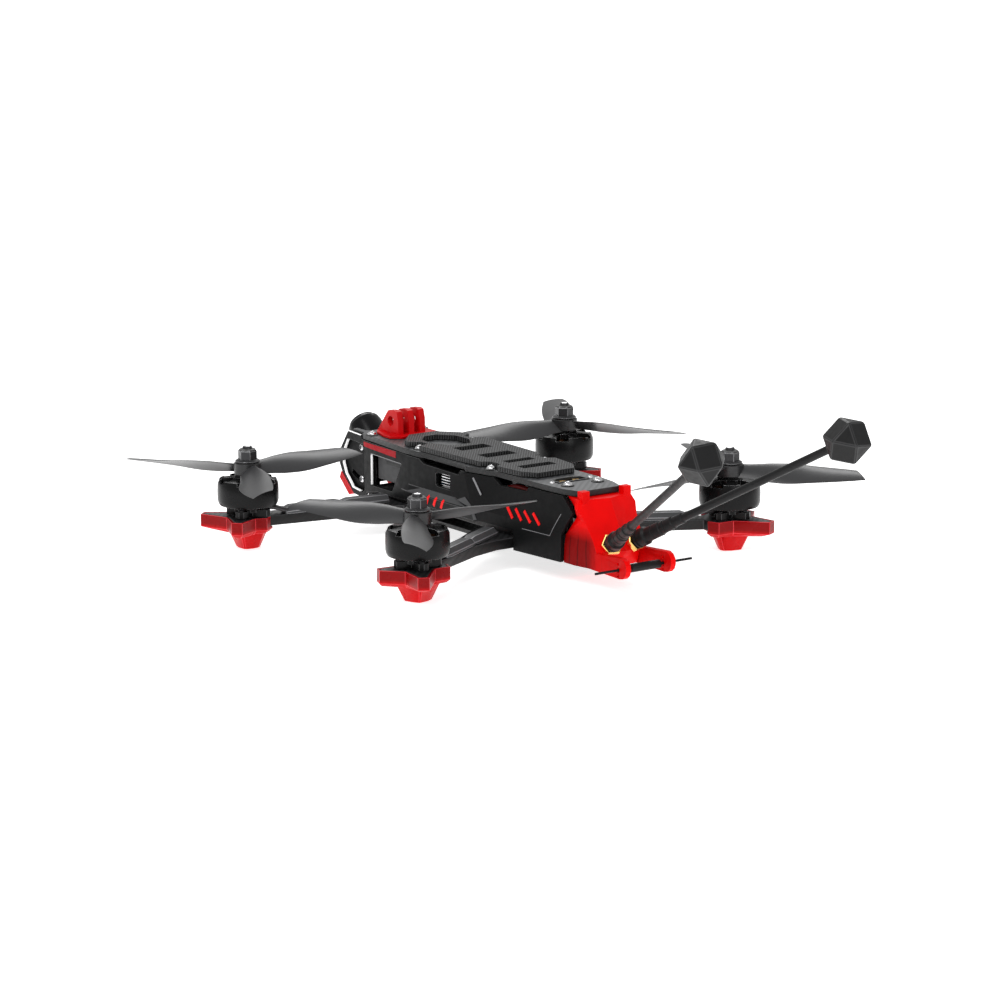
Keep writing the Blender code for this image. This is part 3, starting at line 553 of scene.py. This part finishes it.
# A lighter grey metal for the rounded edges of the nuts, the camera cradle and the standoffs: a painted
# highlight.
NUT_EDGE_HIGHLIGHT = plain("nut_painted_highlight", (0.16, 0.16, 0.165), 0.28, metallic=0.8)
SILVER = plain("silver_steel", (0.75, 0.75, 0.76), 0.22, metallic=1.0, grain_mm=0.2, height_mm=0.004)
NYLON = plain("nylon_ring", (0.06, 0.06, 0.06), 0.5)
PAD = ribbed("battery_pad_rubber", (0.001, 0.001, 0.001), (0.052, 0.053, 0.055), RIB_PITCH, 0.3, 38)
PAD_EDGE = plain("pad_edge", (0.018, 0.018, 0.019), 0.45)
BOARD = plain("board_mask", (0.008, 0.02, 0.035), 0.4)
CHIP = plain("chip_black", (0.015, 0.015, 0.016), 0.45)
UNIT = plain("unit_grey", (0.055, 0.055, 0.057), 0.5, specular=0.25)
SOCKET = plain("socket_black", (0.012, 0.012, 0.012), 0.45)
GOLD = plain("gold_plate", (0.95, 0.62, 0.2), 0.2, metallic=1.0, grain_mm=0.3, height_mm=0.005)
ANTENNA = plain("antenna_black", (0.009, 0.009, 0.0093), 0.42, specular=0.16)
# A lighter black for the rounded edges of the antenna heads: a painted highlight.
ANTENNA_EDGE_HIGHLIGHT = plain("antenna_painted_highlight", (0.024, 0.024, 0.025), 0.4, specular=0.25)
LENS = plain("lens_black", (0.004, 0.004, 0.0045), 0.25, specular=0.15, rough_vary=0.02)
GLASS = plain("lens_glass", (0.01, 0.012, 0.03), 0.06, specular=0.8)
WIRE = plain("wire_black", (0.02, 0.018, 0.02), 0.38, specular=0.4)
WIRE_RED = plain("wire_red", (0.12, 0.004, 0.004), 0.4)


# ---------------------------------------------------------------- small parts

def screw(radius=1.9, height=1.1, socket=0.9):
    """A button head with a round socket, standing on z = 0."""
    dome = [(radius * math.cos(a), height * (0.25 + 0.75 * math.sin(a))) for a in (0, 0.4, 0.8, 1.1)]
    profile = [
        (0, -0.4), (radius, -0.4), *dome,
        (socket * 1.15, height), (socket, height - 0.6), (0, height - 0.7),
    ]
    return turned(profile, 32)


def screws_on_plate():
    """Silver button heads on dark washers along the top plate, and two small ones by the battery socket."""
    washer = [(0, 0), (3.0, 0), (3.0, 0.3), (2.6, 0.5), (0, 0.5)]
    heads, washers = [], []
    for x, y in ((14.3, -78.2), (15, -37), (15, 21), (8.3, 71)):
        for sign in (1, -1):
            heads.append(moved(screw(2.1, 1.5), sign * x, y, PLATE_TOP + 0.35))
            washers.append(moved(turned(washer, 32), sign * x, y, PLATE_TOP))
    for sign in (1, -1):
        heads.append(moved(screw(1.3, 1.0, 0.6), sign * 10.6, 62.3, PLATE_TOP))
    piece(joined(heads), "top_plate_screws", SILVER)
    piece(joined(washers), "top_plate_washers", MOTOR)


# ---------------------------------------------------------------- plates, arms and feet

def plates():
    refined("top_plate", PLATE, DIM_EDGE_HIGHLIGHT, 0.2)
    refined("mid_plate", ARM, DIM_EDGE_HIGHLIGHT, 0.2)
    refined("bottom_plate", ARM, DIM_EDGE_HIGHLIGHT, 0.25)


def arms():
    for corner, _, _ in CORNERS:
        refined(f"arm_{corner}", ARM, DIM_EDGE_HIGHLIGHT, 0.35)
        refined(f"foot_{corner}", FOOT, FOOT_EDGE_HIGHLIGHT, 0.35)


def wire_guards():
    """A faceted cover along the top of each arm, and the three motor wires that run into its end.

    A station is a share of the cover's length, with the scales of its width and height there.
    """
    routes = {"front": ((74.5, -61.8), (22, -55.5)), "rear": ((68.5, 58.2), (24, 32.5))}
    section = [(-4.2, 0.1), (-4.2, 1.4), (-2.2, 3.6), (2.2, 3.6), (4.2, 1.4), (4.2, 0.1)]
    stations = ((0.0, 0.8, 0.7), (0.06, 1, 1), (0.5, 1, 1), (0.56, 0.8, 0.8), (0.62, 1, 1), (1, 1, 1))
    for corner, end, sign in CORNERS:
        start, stop = (Vector(p) for p in routes[end])
        forward = (stop - start).normalized()
        side = Vector((-forward.y, forward.x))
        length = (stop - start).length
        rings = []
        for share, width, height in stations:
            at = start + forward * length * share
            rings.append([(*(at + side * u * width), ARM_TOP + 0.1 + v * height) for u, v in section])
        # The cover is the lighter copy of the panel black with light edges: painted light and painted
        # highlights.
        piece(sided(loft(rings), sign), f"wire_guard_{corner}", PANEL_PAINTED_LIGHT, edge=EDGE_HIGHLIGHT,
              bevel=0.25)
        motor = AXES[f"rotor_{corner}"]
        motor = Vector((abs(motor.x), motor.y))
        wires = []
        for offset in (-2.6, 0, 2.6):
            near = motor + (start - motor).normalized() * 6.5 + side * offset * 1.2
            far = start + forward * 6 + side * offset * 0.8
            middle = (near + start) / 2 + side * offset
            entry = start + side * offset * 0.8
            path = [(near, 4.2), (middle, 3.6), (entry, 2.0), (far, 1.8)]
            wires.append(pipe(smooth_path([(*at, ARM_TOP + up) for at, up in path]), 0.95))
        piece(sided(joined(wires), sign), f"motor_wires_{corner}", WIRE)


# ---------------------------------------------------------------- motors and propellers

def bell(corner, place, end):
    """A can with spokes over its top. Its openings notch the top of the wall, and their edges are bright."""
    low, high = 12.7, 24.6
    profile = [
        (2.3, high - 1.4), (12.4, high - 1.4), (12.4, low), (13.3, low), (13.8, low + 0.9),
        (14.15, low + 2.4), (14.2, low + 6), (14.05, high - 2.2), (13.2, high), (12.2, high + 0.3),
        (6.4, high + 0.9), (5.6, high + 1.6), (2.3, high + 1.6), (2.3, high - 1.4),
    ]
    body = f"rotor_{corner}"
    can = piece(turned(profile, 96), f"bell_can_{corner}", MOTOR, body, [f"motor_bell_{corner}"],
                MOTOR_EDGE, 0.24, smooth=20)
    cutters = []
    for i in range(6):
        wide = arc((0, 0), 12.3, -20, 20, 4) + arc((0, 0), 6.8, 11, -11, 2)
        notch = arc((0, 0), 15.5, -14, 14, 4) + arc((0, 0), 11.0, 12, -12, 2)
        turn = Matrix.Rotation(math.radians(60 * i), 4, "Z")
        cutters.append(placed(prism(wide, high - 5, high + 5), turn))
        cutters.append(placed(prism(notch, high - 1.5, high + 5), turn))
    cut(can, cutters)
    at = Matrix.Translation((place.x * MM, place.y * MM, 0))
    can.data.transform(at @ Matrix.Rotation(math.radians(ARM_TURN[end]), 4, "Z"))
    shaft = [(0, 14.0), (2.25, 14.0), (2.25, 39.3), (1.9, 39.8), (1.5, 39.8), (0, 39.8)]
    piece(moved(turned(shaft, 40), place.x, place.y), f"shaft_{corner}", NUT, body)
    tip = [(0, 39.7), (1.5, 39.7), (1.5, 39.85), (1.2, 40.0), (0.7, 40.0), (0.5, 39.75), (0, 39.75)]
    piece(moved(turned(tip, 32), place.x, place.y), f"shaft_tip_{corner}", SILVER, body)
    magnets = []
    for i in range(MAGNETS):
        magnet = box((11.5, -1.9, low + 0.5), (12.3, 1.9, low + 8))
        magnets.append(moved(magnet, place.x, place.y, 0, 360 / MAGNETS * i))
    piece(joined(magnets), f"magnets_{corner}", SILVER, body, bevel=0.1)


def stator(corner, place, end):
    """The fixed half of a motor, with copper windings round its bearing tube."""
    refined(f"motor_base_{corner}", MOTOR, DIM_EDGE_HIGHLIGHT, 0.2)
    coils = []
    for i in range(COILS):
        coil = box((6.6, -1.35, 14.0), (10.6, 1.35, 23.0))
        bmesh.ops.bevel(coil, geom=coil.edges, offset=0.5, segments=2, affect="EDGES")
        coils.append(moved(coil, place.x, place.y, 0, 360 / COILS * i + 15))
    piece(joined(coils), f"windings_{corner}", COPPER)
    first = ARM_TURN[end] * (1 if place.x > 0 else -1) + 45
    spots = [place.xy + polar(8, first + 90 * i) for i in range(4)]
    bolts = [moved(screw(1.5, 1.1, 0.7), *spot, 10.6) for spot in spots]
    piece(joined(bolts), f"motor_bolts_{corner}", NUT)


def blade():
    """One blade along +X. Its sections are thin aerofoils, and its tip is raked and cut square.

    The lists hold (radius, value) points of the chord, the twist, the sweep and the share of the tip's rake.
    """
    chords = [(4, 9.0), (10, 9.6), (18, 12.4), (28, 14.8), (38, 14.8), (48, 13.6), (58, 11.4), (64, 9.4)]
    twists = [(4, 36.0), (16, 34.0), (22, 31.0), (29, 27.0), (40, 20.0), (52, 16.5), (64, 15.0)]
    sweeps = [(4, 0.5), (20, -0.2), (38, -1.6), (50, -2.6), (64, -3.8)]
    rakes = [(36, 0.0), (44, 0.0), (54, 0.35), (64, 1.0)]
    shares = [(0.5 - 0.5 * math.cos(math.pi * i / 10)) for i in range(11)]
    outline = [(share, 1) for share in shares] + [(share, -1) for share in reversed(shares[1:-1])]
    steps = 32
    rings = []
    for i in range(steps + 1):
        radius = BLADE_ROOT + (BLADE_TIP - BLADE_ROOT) * i / steps
        chord = flowing(chords, radius)
        twist = math.radians(flowing(twists, radius))
        thinner_at_tip = 0.25 + 0.75 * min(1.0, (BLADE_TIP + 0.01 - radius) / 3) ** 0.5
        thick = (1.9 - 1.3 * radius / BLADE_TIP) * thinner_at_tip
        rake = 6.5 * flowing(rakes, max(radius, rakes[0][0]))
        rise = 0.6 * (radius / BLADE_TIP) ** 2
        ring = []
        for share, side in outline:
            across = share - 0.5
            shape = math.sqrt(max(share * (1 - share), 0)) * (1.35 - 0.7 * share)
            lift = thick * shape * (0.62 if side > 0 else -0.38) - 0.24 * chord * across * across
            chordwise = across * chord
            y = chordwise * math.cos(twist) + lift * math.sin(twist) + flowing(sweeps, radius)
            z = lift * math.cos(twist) - chordwise * math.sin(twist)
            ring.append((radius - rake * (0.5 - across), y, BLADE_HEIGHT + z + rise))
        rings.append(ring)
    return loft(rings)


def propeller(corner, place):
    """Three blades on a hub with open pockets between its ribs."""
    turn, hand = BLADE_TURN[corner]
    flip = Matrix.Scale(hand, 4, Vector((0, 1, 0)))
    where = Matrix.Translation((place.x, place.y, 0)) @ Matrix.Rotation(math.radians(turn), 4, "Z") @ flip
    body = f"rotor_{corner}"
    turns = [Matrix.Rotation(math.radians(360 / BLADES * i), 4, "Z") for i in range(BLADES)]
    blades = placed(joined([placed(blade(), turn) for turn in turns]), where)
    piece(blades, f"blades_{corner}", PROP, body, [f"propeller_{corner}"], smooth=60)
    walls = ((5.3, 6.3, 26.7, 32.2, 0.3), (2.6, 3.6, 26.7, 32.3, 0.2), (3.4, 5.5, 29.4, 31.0, 0.1))
    shapes = [turned(ring_profile(*wall)) for wall in walls]
    shapes += [moved(box((3.4, -0.45, 26.9), (5.5, 0.45, 32.0)), 0, 0, 0, 30 * i) for i in range(12)]
    piece(placed(joined(shapes), where), f"hub_{corner}", PROP_EDGE, body)


def nut(corner, place):
    """A flanged hexagon lock nut with a plastic ring at its top."""
    body = f"rotor_{corner}"
    low, high = 32.6, 38.5
    hexagon = [
        (2.4, low + 0.5), (4.5, low + 0.5), (4.5, high - 0.9), (4.0, high - 0.2), (3.2, high - 0.2),
        (2.4, high - 0.6), (2.4, low + 0.5),
    ]
    ring = [
        (2.35, high - 1), (3.7, high - 1), (3.7, high - 0.1), (3.2, high + 0.1), (2.35, high + 0.1),
        (2.35, high - 1),
    ]
    flange = [(2.5, low), (5.7, low), (5.7, low + 0.5), (4.6, low + 1.2), (2.5, low + 1.2), (2.5, low)]
    piece(moved(turned(hexagon, 6), place.x, place.y, 0, 15), f"nut_hex_{corner}", NUT, body,
          [f"prop_nut_{corner}"], NUT_EDGE_HIGHLIGHT, 0.22, smooth=20)
    piece(moved(turned(flange), place.x, place.y), f"nut_flange_{corner}", NUT, body,
          edge=NUT_EDGE_HIGHLIGHT, bevel=0.12)
    piece(moved(turned(ring), place.x, place.y), f"nut_ring_{corner}", NYLON, body)


def motors():
    for corner, end, _ in CORNERS:
        place = AXES[f"rotor_{corner}"]
        stator(corner, place, end)
        bell(corner, place, end)
        propeller(corner, place)
        nut(corner, place)


# ---------------------------------------------------------------- body shell

def front_face(y, z):
    """The outer face of the front side panel."""
    base = along([(-108, 14.0), (-97, 14.4), (-75, 16.9), (-38, 19.6), (10, 19.6)], y)
    ridge = along([(8, -0.9), (14.6, 1.4), (17.7, 0.0), (32, 0.0)], z)
    return base + ridge * along([(-52, 0.0), (-38, 1.0), (10, 1.0)], y)


def rear_face(y, z):
    """The outer face of the rear cover."""
    top = along([(0, 20.9), (8, 20.9), (27, 16.2), (60, 16.2), (75, 15.0), (90, 13.6)], y)
    low = along([(0, 21.4), (45, 19.2), (80, 16.2), (90, 15.2)], y)
    return top + (low - top) * along([(16, 1.0), (31.6, 0.0)], z)


# Where each face bends, in y and in z, so that a shape laid on it can be split there.
BENDS = {front_face: ((-97, -75, -52, -38), (14.6, 17.7)), rear_face: ((8, 27, 45, 60, 75), (16,))}


def inlay(name, outlines, face, look, proud=0.12, deep=0.15):
    """Thin shapes drawn in (y, z) that lie on an outer face of the body, on both sides.

    They stand proud of the face and reach in behind it by the given depth.
    """
    for side, sign in SIDES:
        shapes = []
        for outline in outlines:
            bm = prism(outline, -deep, proud)
            for normal, places in zip((Vector((1, 0, 0)), Vector((0, 1, 0))), BENDS[face]):
                for place in places:
                    geom = [*bm.verts, *bm.edges, *bm.faces]
                    at = normal * place
                    bmesh.ops.bisect_plane(bm, geom=geom, dist=1e-5, plane_co=at, plane_no=normal)
            along_x(bm)
            for v in bm.verts:
                v.co.x += face(v.co.y, v.co.z)
            shapes.append(bm)
        piece(sided(joined(shapes), sign), f"{name}_{side}", look)


def stroke(points, width):
    """The outline of a line of even width through the points."""
    points = [Vector(p) for p in points]
    left, right = [], []
    for i, p in enumerate(points):
        before = (p - points[i - 1]).normalized() if i else None
        after = (points[i + 1] - p).normalized() if i < len(points) - 1 else None
        forward = ((before or after) + (after or before)).normalized()
        side = Vector((-forward.y, forward.x))
        reach = width / 2 / max(0.4, side.dot(Vector((-(after or before).y, (after or before).x))))
        left.append(p + side * reach)
        right.append(p - side * reach)
    return left + right[::-1]


def shell():
    for side, sign in SIDES:
        refined(f"side_panel_front_{side}", PANEL, DIM_EDGE_HIGHLIGHT, 0.22)
        refined(f"side_cover_rear_{side}", PANEL, DIM_EDGE_HIGHLIGHT, 0.22)
        refined(f"nose_bumper_{side}", BUMPER, FOOT_EDGE_HIGHLIGHT, 0.3)
        low, high = sorted((sign * 13.9, sign * 14.5))
        seal = box((low, 70.0, 1.6), (high, 77.0, 14.0))
        piece(seal, f"cover_seal_{side}", PANEL, bevel=0.15)
    nose = [(-99.5, 29.0), (-104.1, 21.9), (-103.8, 16.8), (-101.5, 12.1), (-95.1, 6.4), (-87, 5.9)]
    # Glowing white strokes round the nose and along the window: painted highlights.
    inlay("nose_rim", [stroke(nose, 0.36)], front_face, GLOWING_HIGHLIGHT, 0.02, 1.2)
    inlay("nose_crest", [stroke([(-98.6, 33.1), (-86.2, 33.1)], 0.24)], front_face, GLOWING_HIGHLIGHT, 0.02, 0.8)
    inlay("window_edge", [stroke([(-75.3, 25.6), (-75.3, 11.2)], 0.42)], front_face, GLOWING_HIGHLIGHT, 0.02, 0.9)
    # A light line along the brow of the window: a painted highlight.
    inlay("window_brow", [stroke([(-75.2, 26.1), (-46.6, 26.1)], 0.3)], front_face, EDGE_HIGHLIGHT, 0.04)
    stripe = [(-82.8, 28.4), (-51.5, 28.0), (-51.5, 31.1), (-82.8, 30.6)]
    inlay("red_stripe", [stripe], front_face, STRIPE_DIM, 0.06)
    lines = (
        [(-20.6, 15.6), (-24.2, 11.2)], [(-14.4, 15.6), (-18.6, 11.0)], [(-8.6, 15.4), (-12.8, 10.8)],
    )
    inlay("front_slashes", [stroke(line, 1.3) for line in lines], front_face, STRIPE_RED)
    # A lighter patch on the sloping face of the ridge: painted light.
    ridge_light_patch = [(-28, 17.9), (-2.6, 17.9), (9.0, 15.2), (-40, 14.8)]
    inlay("ridge_painted_light", [ridge_light_patch], front_face, PANEL_PAINTED_LIGHT, 0.05)
    # Light lines along the rear edge of the front panel and the groove of the rear cover: painted
    # highlights.
    inlay("panel_edge_highlight", [stroke([(5.6, 30.8), (-0.9, 19.6)], 0.45)], front_face, EDGE_HIGHLIGHT, 0.08)
    inlay("cover_groove", [stroke([(13.4, 29.6), (19.3, 22.6)], 0.9)], rear_face, EDGE_HIGHLIGHT, 0.05)
    marks = [stroke([(39 + 6.2 * i, 20.6), (44 + 6.2 * i, 16.1)], 1.3) for i in range(4)]
    inlay("rear_slashes", marks, rear_face, STRIPE_RED, 0.35)
    # A light line along the rear cover: a painted highlight.
    inlay("cover_line", [stroke([(50.5, 12.4), (69.4, 12.3), (76.2, 23.2)], 0.3)], rear_face, EDGE_HIGHLIGHT, 0.03)
    # A lighter patch on a facet of the rear cover: painted light.
    lit_facet = [(2.6, 17.8), (8.7, 20.1), (12.8, 17.3), (17.6, 10.9), (15.2, 10.2), (13.6, 15.7)]
    inlay("cover_facet_painted_light", [lit_facet], rear_face, PANEL_PAINTED_LIGHT, 0.25)


def battery_pad():
    refined("battery_pad", PAD, PAD_EDGE, 0.35)


# ---------------------------------------------------------------- electronics

def electronics():
    for name in ("speed_controller", "flight_controller", "receiver"):
        refined(name, BOARD, None, 0.15)
        low, high = low_of(name), high_of(name)
        chips = []
        for i in range(3):
            for j in range(3):
                x = low.x + (high.x - low.x) * (0.28 + 0.22 * i)
                y = low.y + (high.y - low.y) * (0.28 + 0.22 * j)
                size = 0.9 + 0.5 * ((i * 5 + j * 3) % 4)
                chips.append(box((x - size, y - size, high.z - 0.1), (x + size, y + size, high.z + 0.6)))
        piece(joined(chips), f"{name}_chips", CHIP, bevel=0.1)
    refined("capacitor", UNIT, None, 0.3)
    refined("air_unit", UNIT, DIM_EDGE_HIGHLIGHT, 0.5)
    for side, sign in SIDES:
        x = sign * high_of("air_unit").x
        low, high = sorted((x, x + sign * 0.12))
        slit = box((low, -66, 22.2), (high, -54.5, 23.6))
        piece(slit, f"air_unit_slit_{side}", CHIP, bevel=0.05)
        rows = [((16.6, -15.8 + 0.4 * i, 21.2 + 1.3 * i), (17.8, -7.2, 21.7 + 1.3 * i)) for i in range(5)]
        pins = joined([box(*corners) for corners in rows])
        piece(sided(pins, sign), f"port_pins_{side}", SILVER, bevel=0.08)


def power_socket():
    refined("power_socket", SOCKET, DIM_EDGE_HIGHLIGHT, 0.2)
    profile = [(0, 27), (1.85, 27), (1.85, 33.2), (1.5, 34.0), (1.0, 34.0), (0.8, 31), (0, 31)]
    pins = [moved(turned(profile, 32), x, 60.7) for x in (3.6, -3.6)]
    piece(joined(pins), "socket_pins", GOLD)


def power_leads():
    """The two thick leads from the battery socket to the speed controller."""
    path = [
        (3.6, 60.5, 20.2), (6.5, 55, 23.5), (10.8, 46, 27.6), (11.6, 36, 28.0), (10.6, 24, 24),
        (9.5, 13, 18.6),
    ]
    for name, sign, look in (("red", 1, WIRE_RED), ("black", -1, WIRE)):
        lead = pipe(smooth_path([(sign * x, y, z) for x, y, z in path]), 1.5, 16)
        piece(lead, f"power_lead_{name}", look)


# ---------------------------------------------------------------- camera

def camera():
    """The nose camera. Its screws, its front glass and the dark plates behind the slots tilt with it; the
    plates are painted shade seen through the slots.
    """
    refined("camera_bracket", PANEL, DIM_EDGE_HIGHLIGHT, 0.25)
    refined("camera_cradle", NUT, NUT_EDGE_HIGHLIGHT, 0.2)
    refined("camera_housing", LENS, DIM_EDGE_HIGHLIGHT, 0.5)
    refined("camera_lens", LENS, DIM_EDGE_HIGHLIGHT, 0.3)
    pivot = AXES["camera_tilt"]
    heads = []
    for sign in (1, -1):
        outward = Matrix.Rotation(sign * math.pi / 2, 4, "Y")
        for z in (pivot.z, pivot.z - TILT_SLOT_RADIUS):
            at = Matrix.Translation((sign * 12.3, pivot.y, z))
            heads.append(placed(screw(1.7, 1.0, 0.8), at @ outward))
    piece(joined(heads), "camera_screws", SILVER, "camera_tilt")
    centre = (pivot.y, pivot.z)
    # Dark plates behind the slots of the bracket: painted shade, standing in for the dark seen through the
    # slots.
    for side, sign in SIDES:
        low, high = sorted((sign * 9.9, sign * 10.5))
        outline = arc(centre, 18.3, 218, 280, 10) + arc(centre, 3.4, 40, 130, 4)
        shade_plate = along_x(prism(outline, low, high))
        piece(shade_plate, f"slot_shade_plate_{side}", LENS, "camera_tilt", bevel=0.1)
    aim = Matrix.Translation((0, pivot.y, pivot.z)) @ Matrix.Rotation(math.radians(50), 4, "X")
    glass = turned([(0, 18.3), (4.4, 18.3), (4.4, 18.7), (3.4, 19.2), (2.0, 19.6), (0, 19.8)], 40)
    placed(glass, aim @ Matrix.Translation((0, -5.5, 0)))
    piece(glass, "camera_glass", GLASS, "camera_tilt", smooth=60)


def action_mount():
    refined("action_camera_mount", EARS, EARS_EDGE_HIGHLIGHT, 0.3)


# ---------------------------------------------------------------- tail and antennas

def tail():
    """The tail block. Each prong has two more small holes, above and below the whip."""
    block = refined("antenna_mount", TAIL, TAIL_EDGE_HIGHLIGHT, 0.3)
    whip = (high_of("receiver_antenna") + low_of("receiver_antenna")) / 2
    cutters = []
    for up in (-2.7, 2.7):
        hole = prism(arc((whip.y, whip.z + up), 0.75, 0, 330, 11), -20, 20)
        cutters.append(along_x(hole))
    cut(block, cutters)
    refined("receiver_antenna", ANTENNA, None, 0.1)


def antenna(side):
    """A threaded gold jack with its nut, and the antenna that turns on it."""
    axis = next(j for j in frame["joints"] if j["name"] == f"antenna_turn_{side}")
    place = Vector(axis["pos_m"]) / MM
    forward = Vector(axis["axis"]).normalized()
    across = forward.cross(Vector((0, 0, 1))).normalized() * -1
    up = forward.cross(across)
    where = Matrix((across, up, forward)).transposed().to_4x4()
    where.translation = place
    body = f"antenna_{side}"
    hexagon = turned([(2.9, -0.9), (5.2, -0.9), (5.2, 0.9), (4.8, 1.3), (2.9, 1.3), (2.9, -0.9)], 6)
    piece(placed(hexagon, where), f"jack_nut_{side}", GOLD, "frame", [f"antenna_jack_{side}"], GOLD,
          0.2, smooth=20)
    thread = [(0, -8)]
    for i in range(16):
        thread += [(3.0, -7.6 + 0.55 * i), (2.75, -7.32 + 0.55 * i)]
    thread += [(2.8, 1.5), (0, 1.5)]
    piece(placed(turned(thread, 40), where), f"jack_thread_{side}", GOLD, "frame")
    stem = [
        (0, 1.8), (3.9, 1.8), (4.15, 2.2), (4.15, 3.0), (3.7, 3.2), (3.7, 4.0), (4.15, 4.2), (4.15, 7.2),
        (3.5, 8.0), (3.3, 8.3), (3.3, 11.8), (3.05, 12.0), (3.05, 12.6), (3.3, 12.8), (3.3, 16.4),
        (2.9, 16.8), (2.9, 18.6), (2.6, 18.8), (2.6, 19.5), (2.9, 19.7), (2.9, 23.6), (2.4, 24), (2.4, 29.4),
        (1.85, 29.8), (1.85, 116.8), (0, 116.8),
    ]
    piece(placed(turned(stem, 48), where), f"stem_{side}", ANTENNA, body, [f"antenna_stem_{side}"],
          smooth=25)
    refined(f"antenna_head_{side}", ANTENNA, ANTENNA_EDGE_HIGHLIGHT, 0.3, smooth=20)


# ---------------------------------------------------------------- stage

def stage():
    """A pale floor just under the feet, and an even white surround."""
    floor_look, shader = new_look("floor_paper", (0.92, 0.92, 0.92), 0.9, specular=0.05)
    tree = floor_look.node_tree
    clouds = noise(tree, object_space(tree), 3)
    paper = tint(tree, clouds, (0.90, 0.90, 0.90), (0.94, 0.94, 0.94))
    tree.links.new(paper, shader.inputs["Base Color"])
    shader.inputs["Emission Color"].default_value = (1, 1, 1, 1)
    shader.inputs["Emission Strength"].default_value = 0.72
    bm = bmesh.new()
    bmesh.ops.create_grid(bm, x_segments=8, y_segments=8, size=12)
    mesh = bpy.data.meshes.new("floor")
    bm.to_mesh(mesh)
    bm.free()
    mesh.materials.append(floor_look)
    floor = bpy.data.objects.new("floor", mesh)
    floor.location.z = (low_of("foot_front_left").z - 0.2) * MM
    bpy.context.scene.collection.objects.link(floor)

    world = bpy.data.worlds.new("soft_white")
    bpy.context.scene.world = world
    world.use_nodes = True
    background = world.node_tree.nodes["Background"]
    background.inputs["Color"].default_value = (1, 1, 1, 1)
    background.inputs["Strength"].default_value = 0.55
    bpy.context.scene.view_settings.view_transform = "Standard"


def area_light(name, place, size, power):
    """A soft light, in metres and watts, that points at the origin."""
    light = bpy.data.objects.new(name, bpy.data.lights.new(name, "AREA"))
    light.data.shape = "RECTANGLE"
    light.data.size, light.data.size_y = size
    light.data.energy = power
    light.location = place
    light.rotation_euler = Vector(place).to_track_quat("Z", "Y").to_euler()
    bpy.context.scene.collection.objects.link(light)


def lights():
    area_light("key", (0.9, 0.3, 1.3), (0.9, 0.9), 12)
    area_light("rim", (-0.6, -0.9, 0.9), (0.8, 0.5), 5)
    area_light("tail_light", (0.2, 1.3, 0.5), (0.6, 0.6), 3)


def photo_camera():
    """A long lens from behind the left side, 12 degrees above the level, with a slight roll."""
    azimuth, elevation, roll = (math.radians(a) for a in (144.94, 12.05, -0.2638))
    distance = 1.8916
    target = Vector((0, 0.00667, 0.0156))
    lit_share_by_facing = math.cos(elevation)
    back = Vector((math.sin(azimuth) * lit_share_by_facing, -math.cos(azimuth) * lit_share_by_facing, math.sin(elevation)))
    right = Vector((0, 0, 1)).cross(back).normalized()
    up = back.cross(right)
    x = right * math.cos(roll) + up * math.sin(roll)
    y = up * math.cos(roll) - right * math.sin(roll)
    matrix = Matrix((x, y, back)).transposed().to_4x4()
    matrix.translation = target + back * distance
    camera_object = bpy.data.objects.new("camera", bpy.data.cameras.new("camera"))
    camera_object.data.lens = 148.14
    camera_object.data.sensor_width = 36
    camera_object.data.clip_end = 100
    bpy.context.scene.collection.objects.link(camera_object)
    camera_object.matrix_world = matrix
    bpy.context.scene.camera = camera_object


plates()
arms()
wire_guards()
motors()
shell()
battery_pad()
screws_on_plate()
electronics()
power_socket()
power_leads()
camera()
action_mount()
tail()
for side, _ in SIDES:
    antenna(side)
for side, _ in SIDES:
    for name in ("shoulder", "tail"):
        refined(f"standoff_{name}_{side}", NUT, NUT_EDGE_HIGHLIGHT, 0.2)
stage()
lights()
photo_camera()
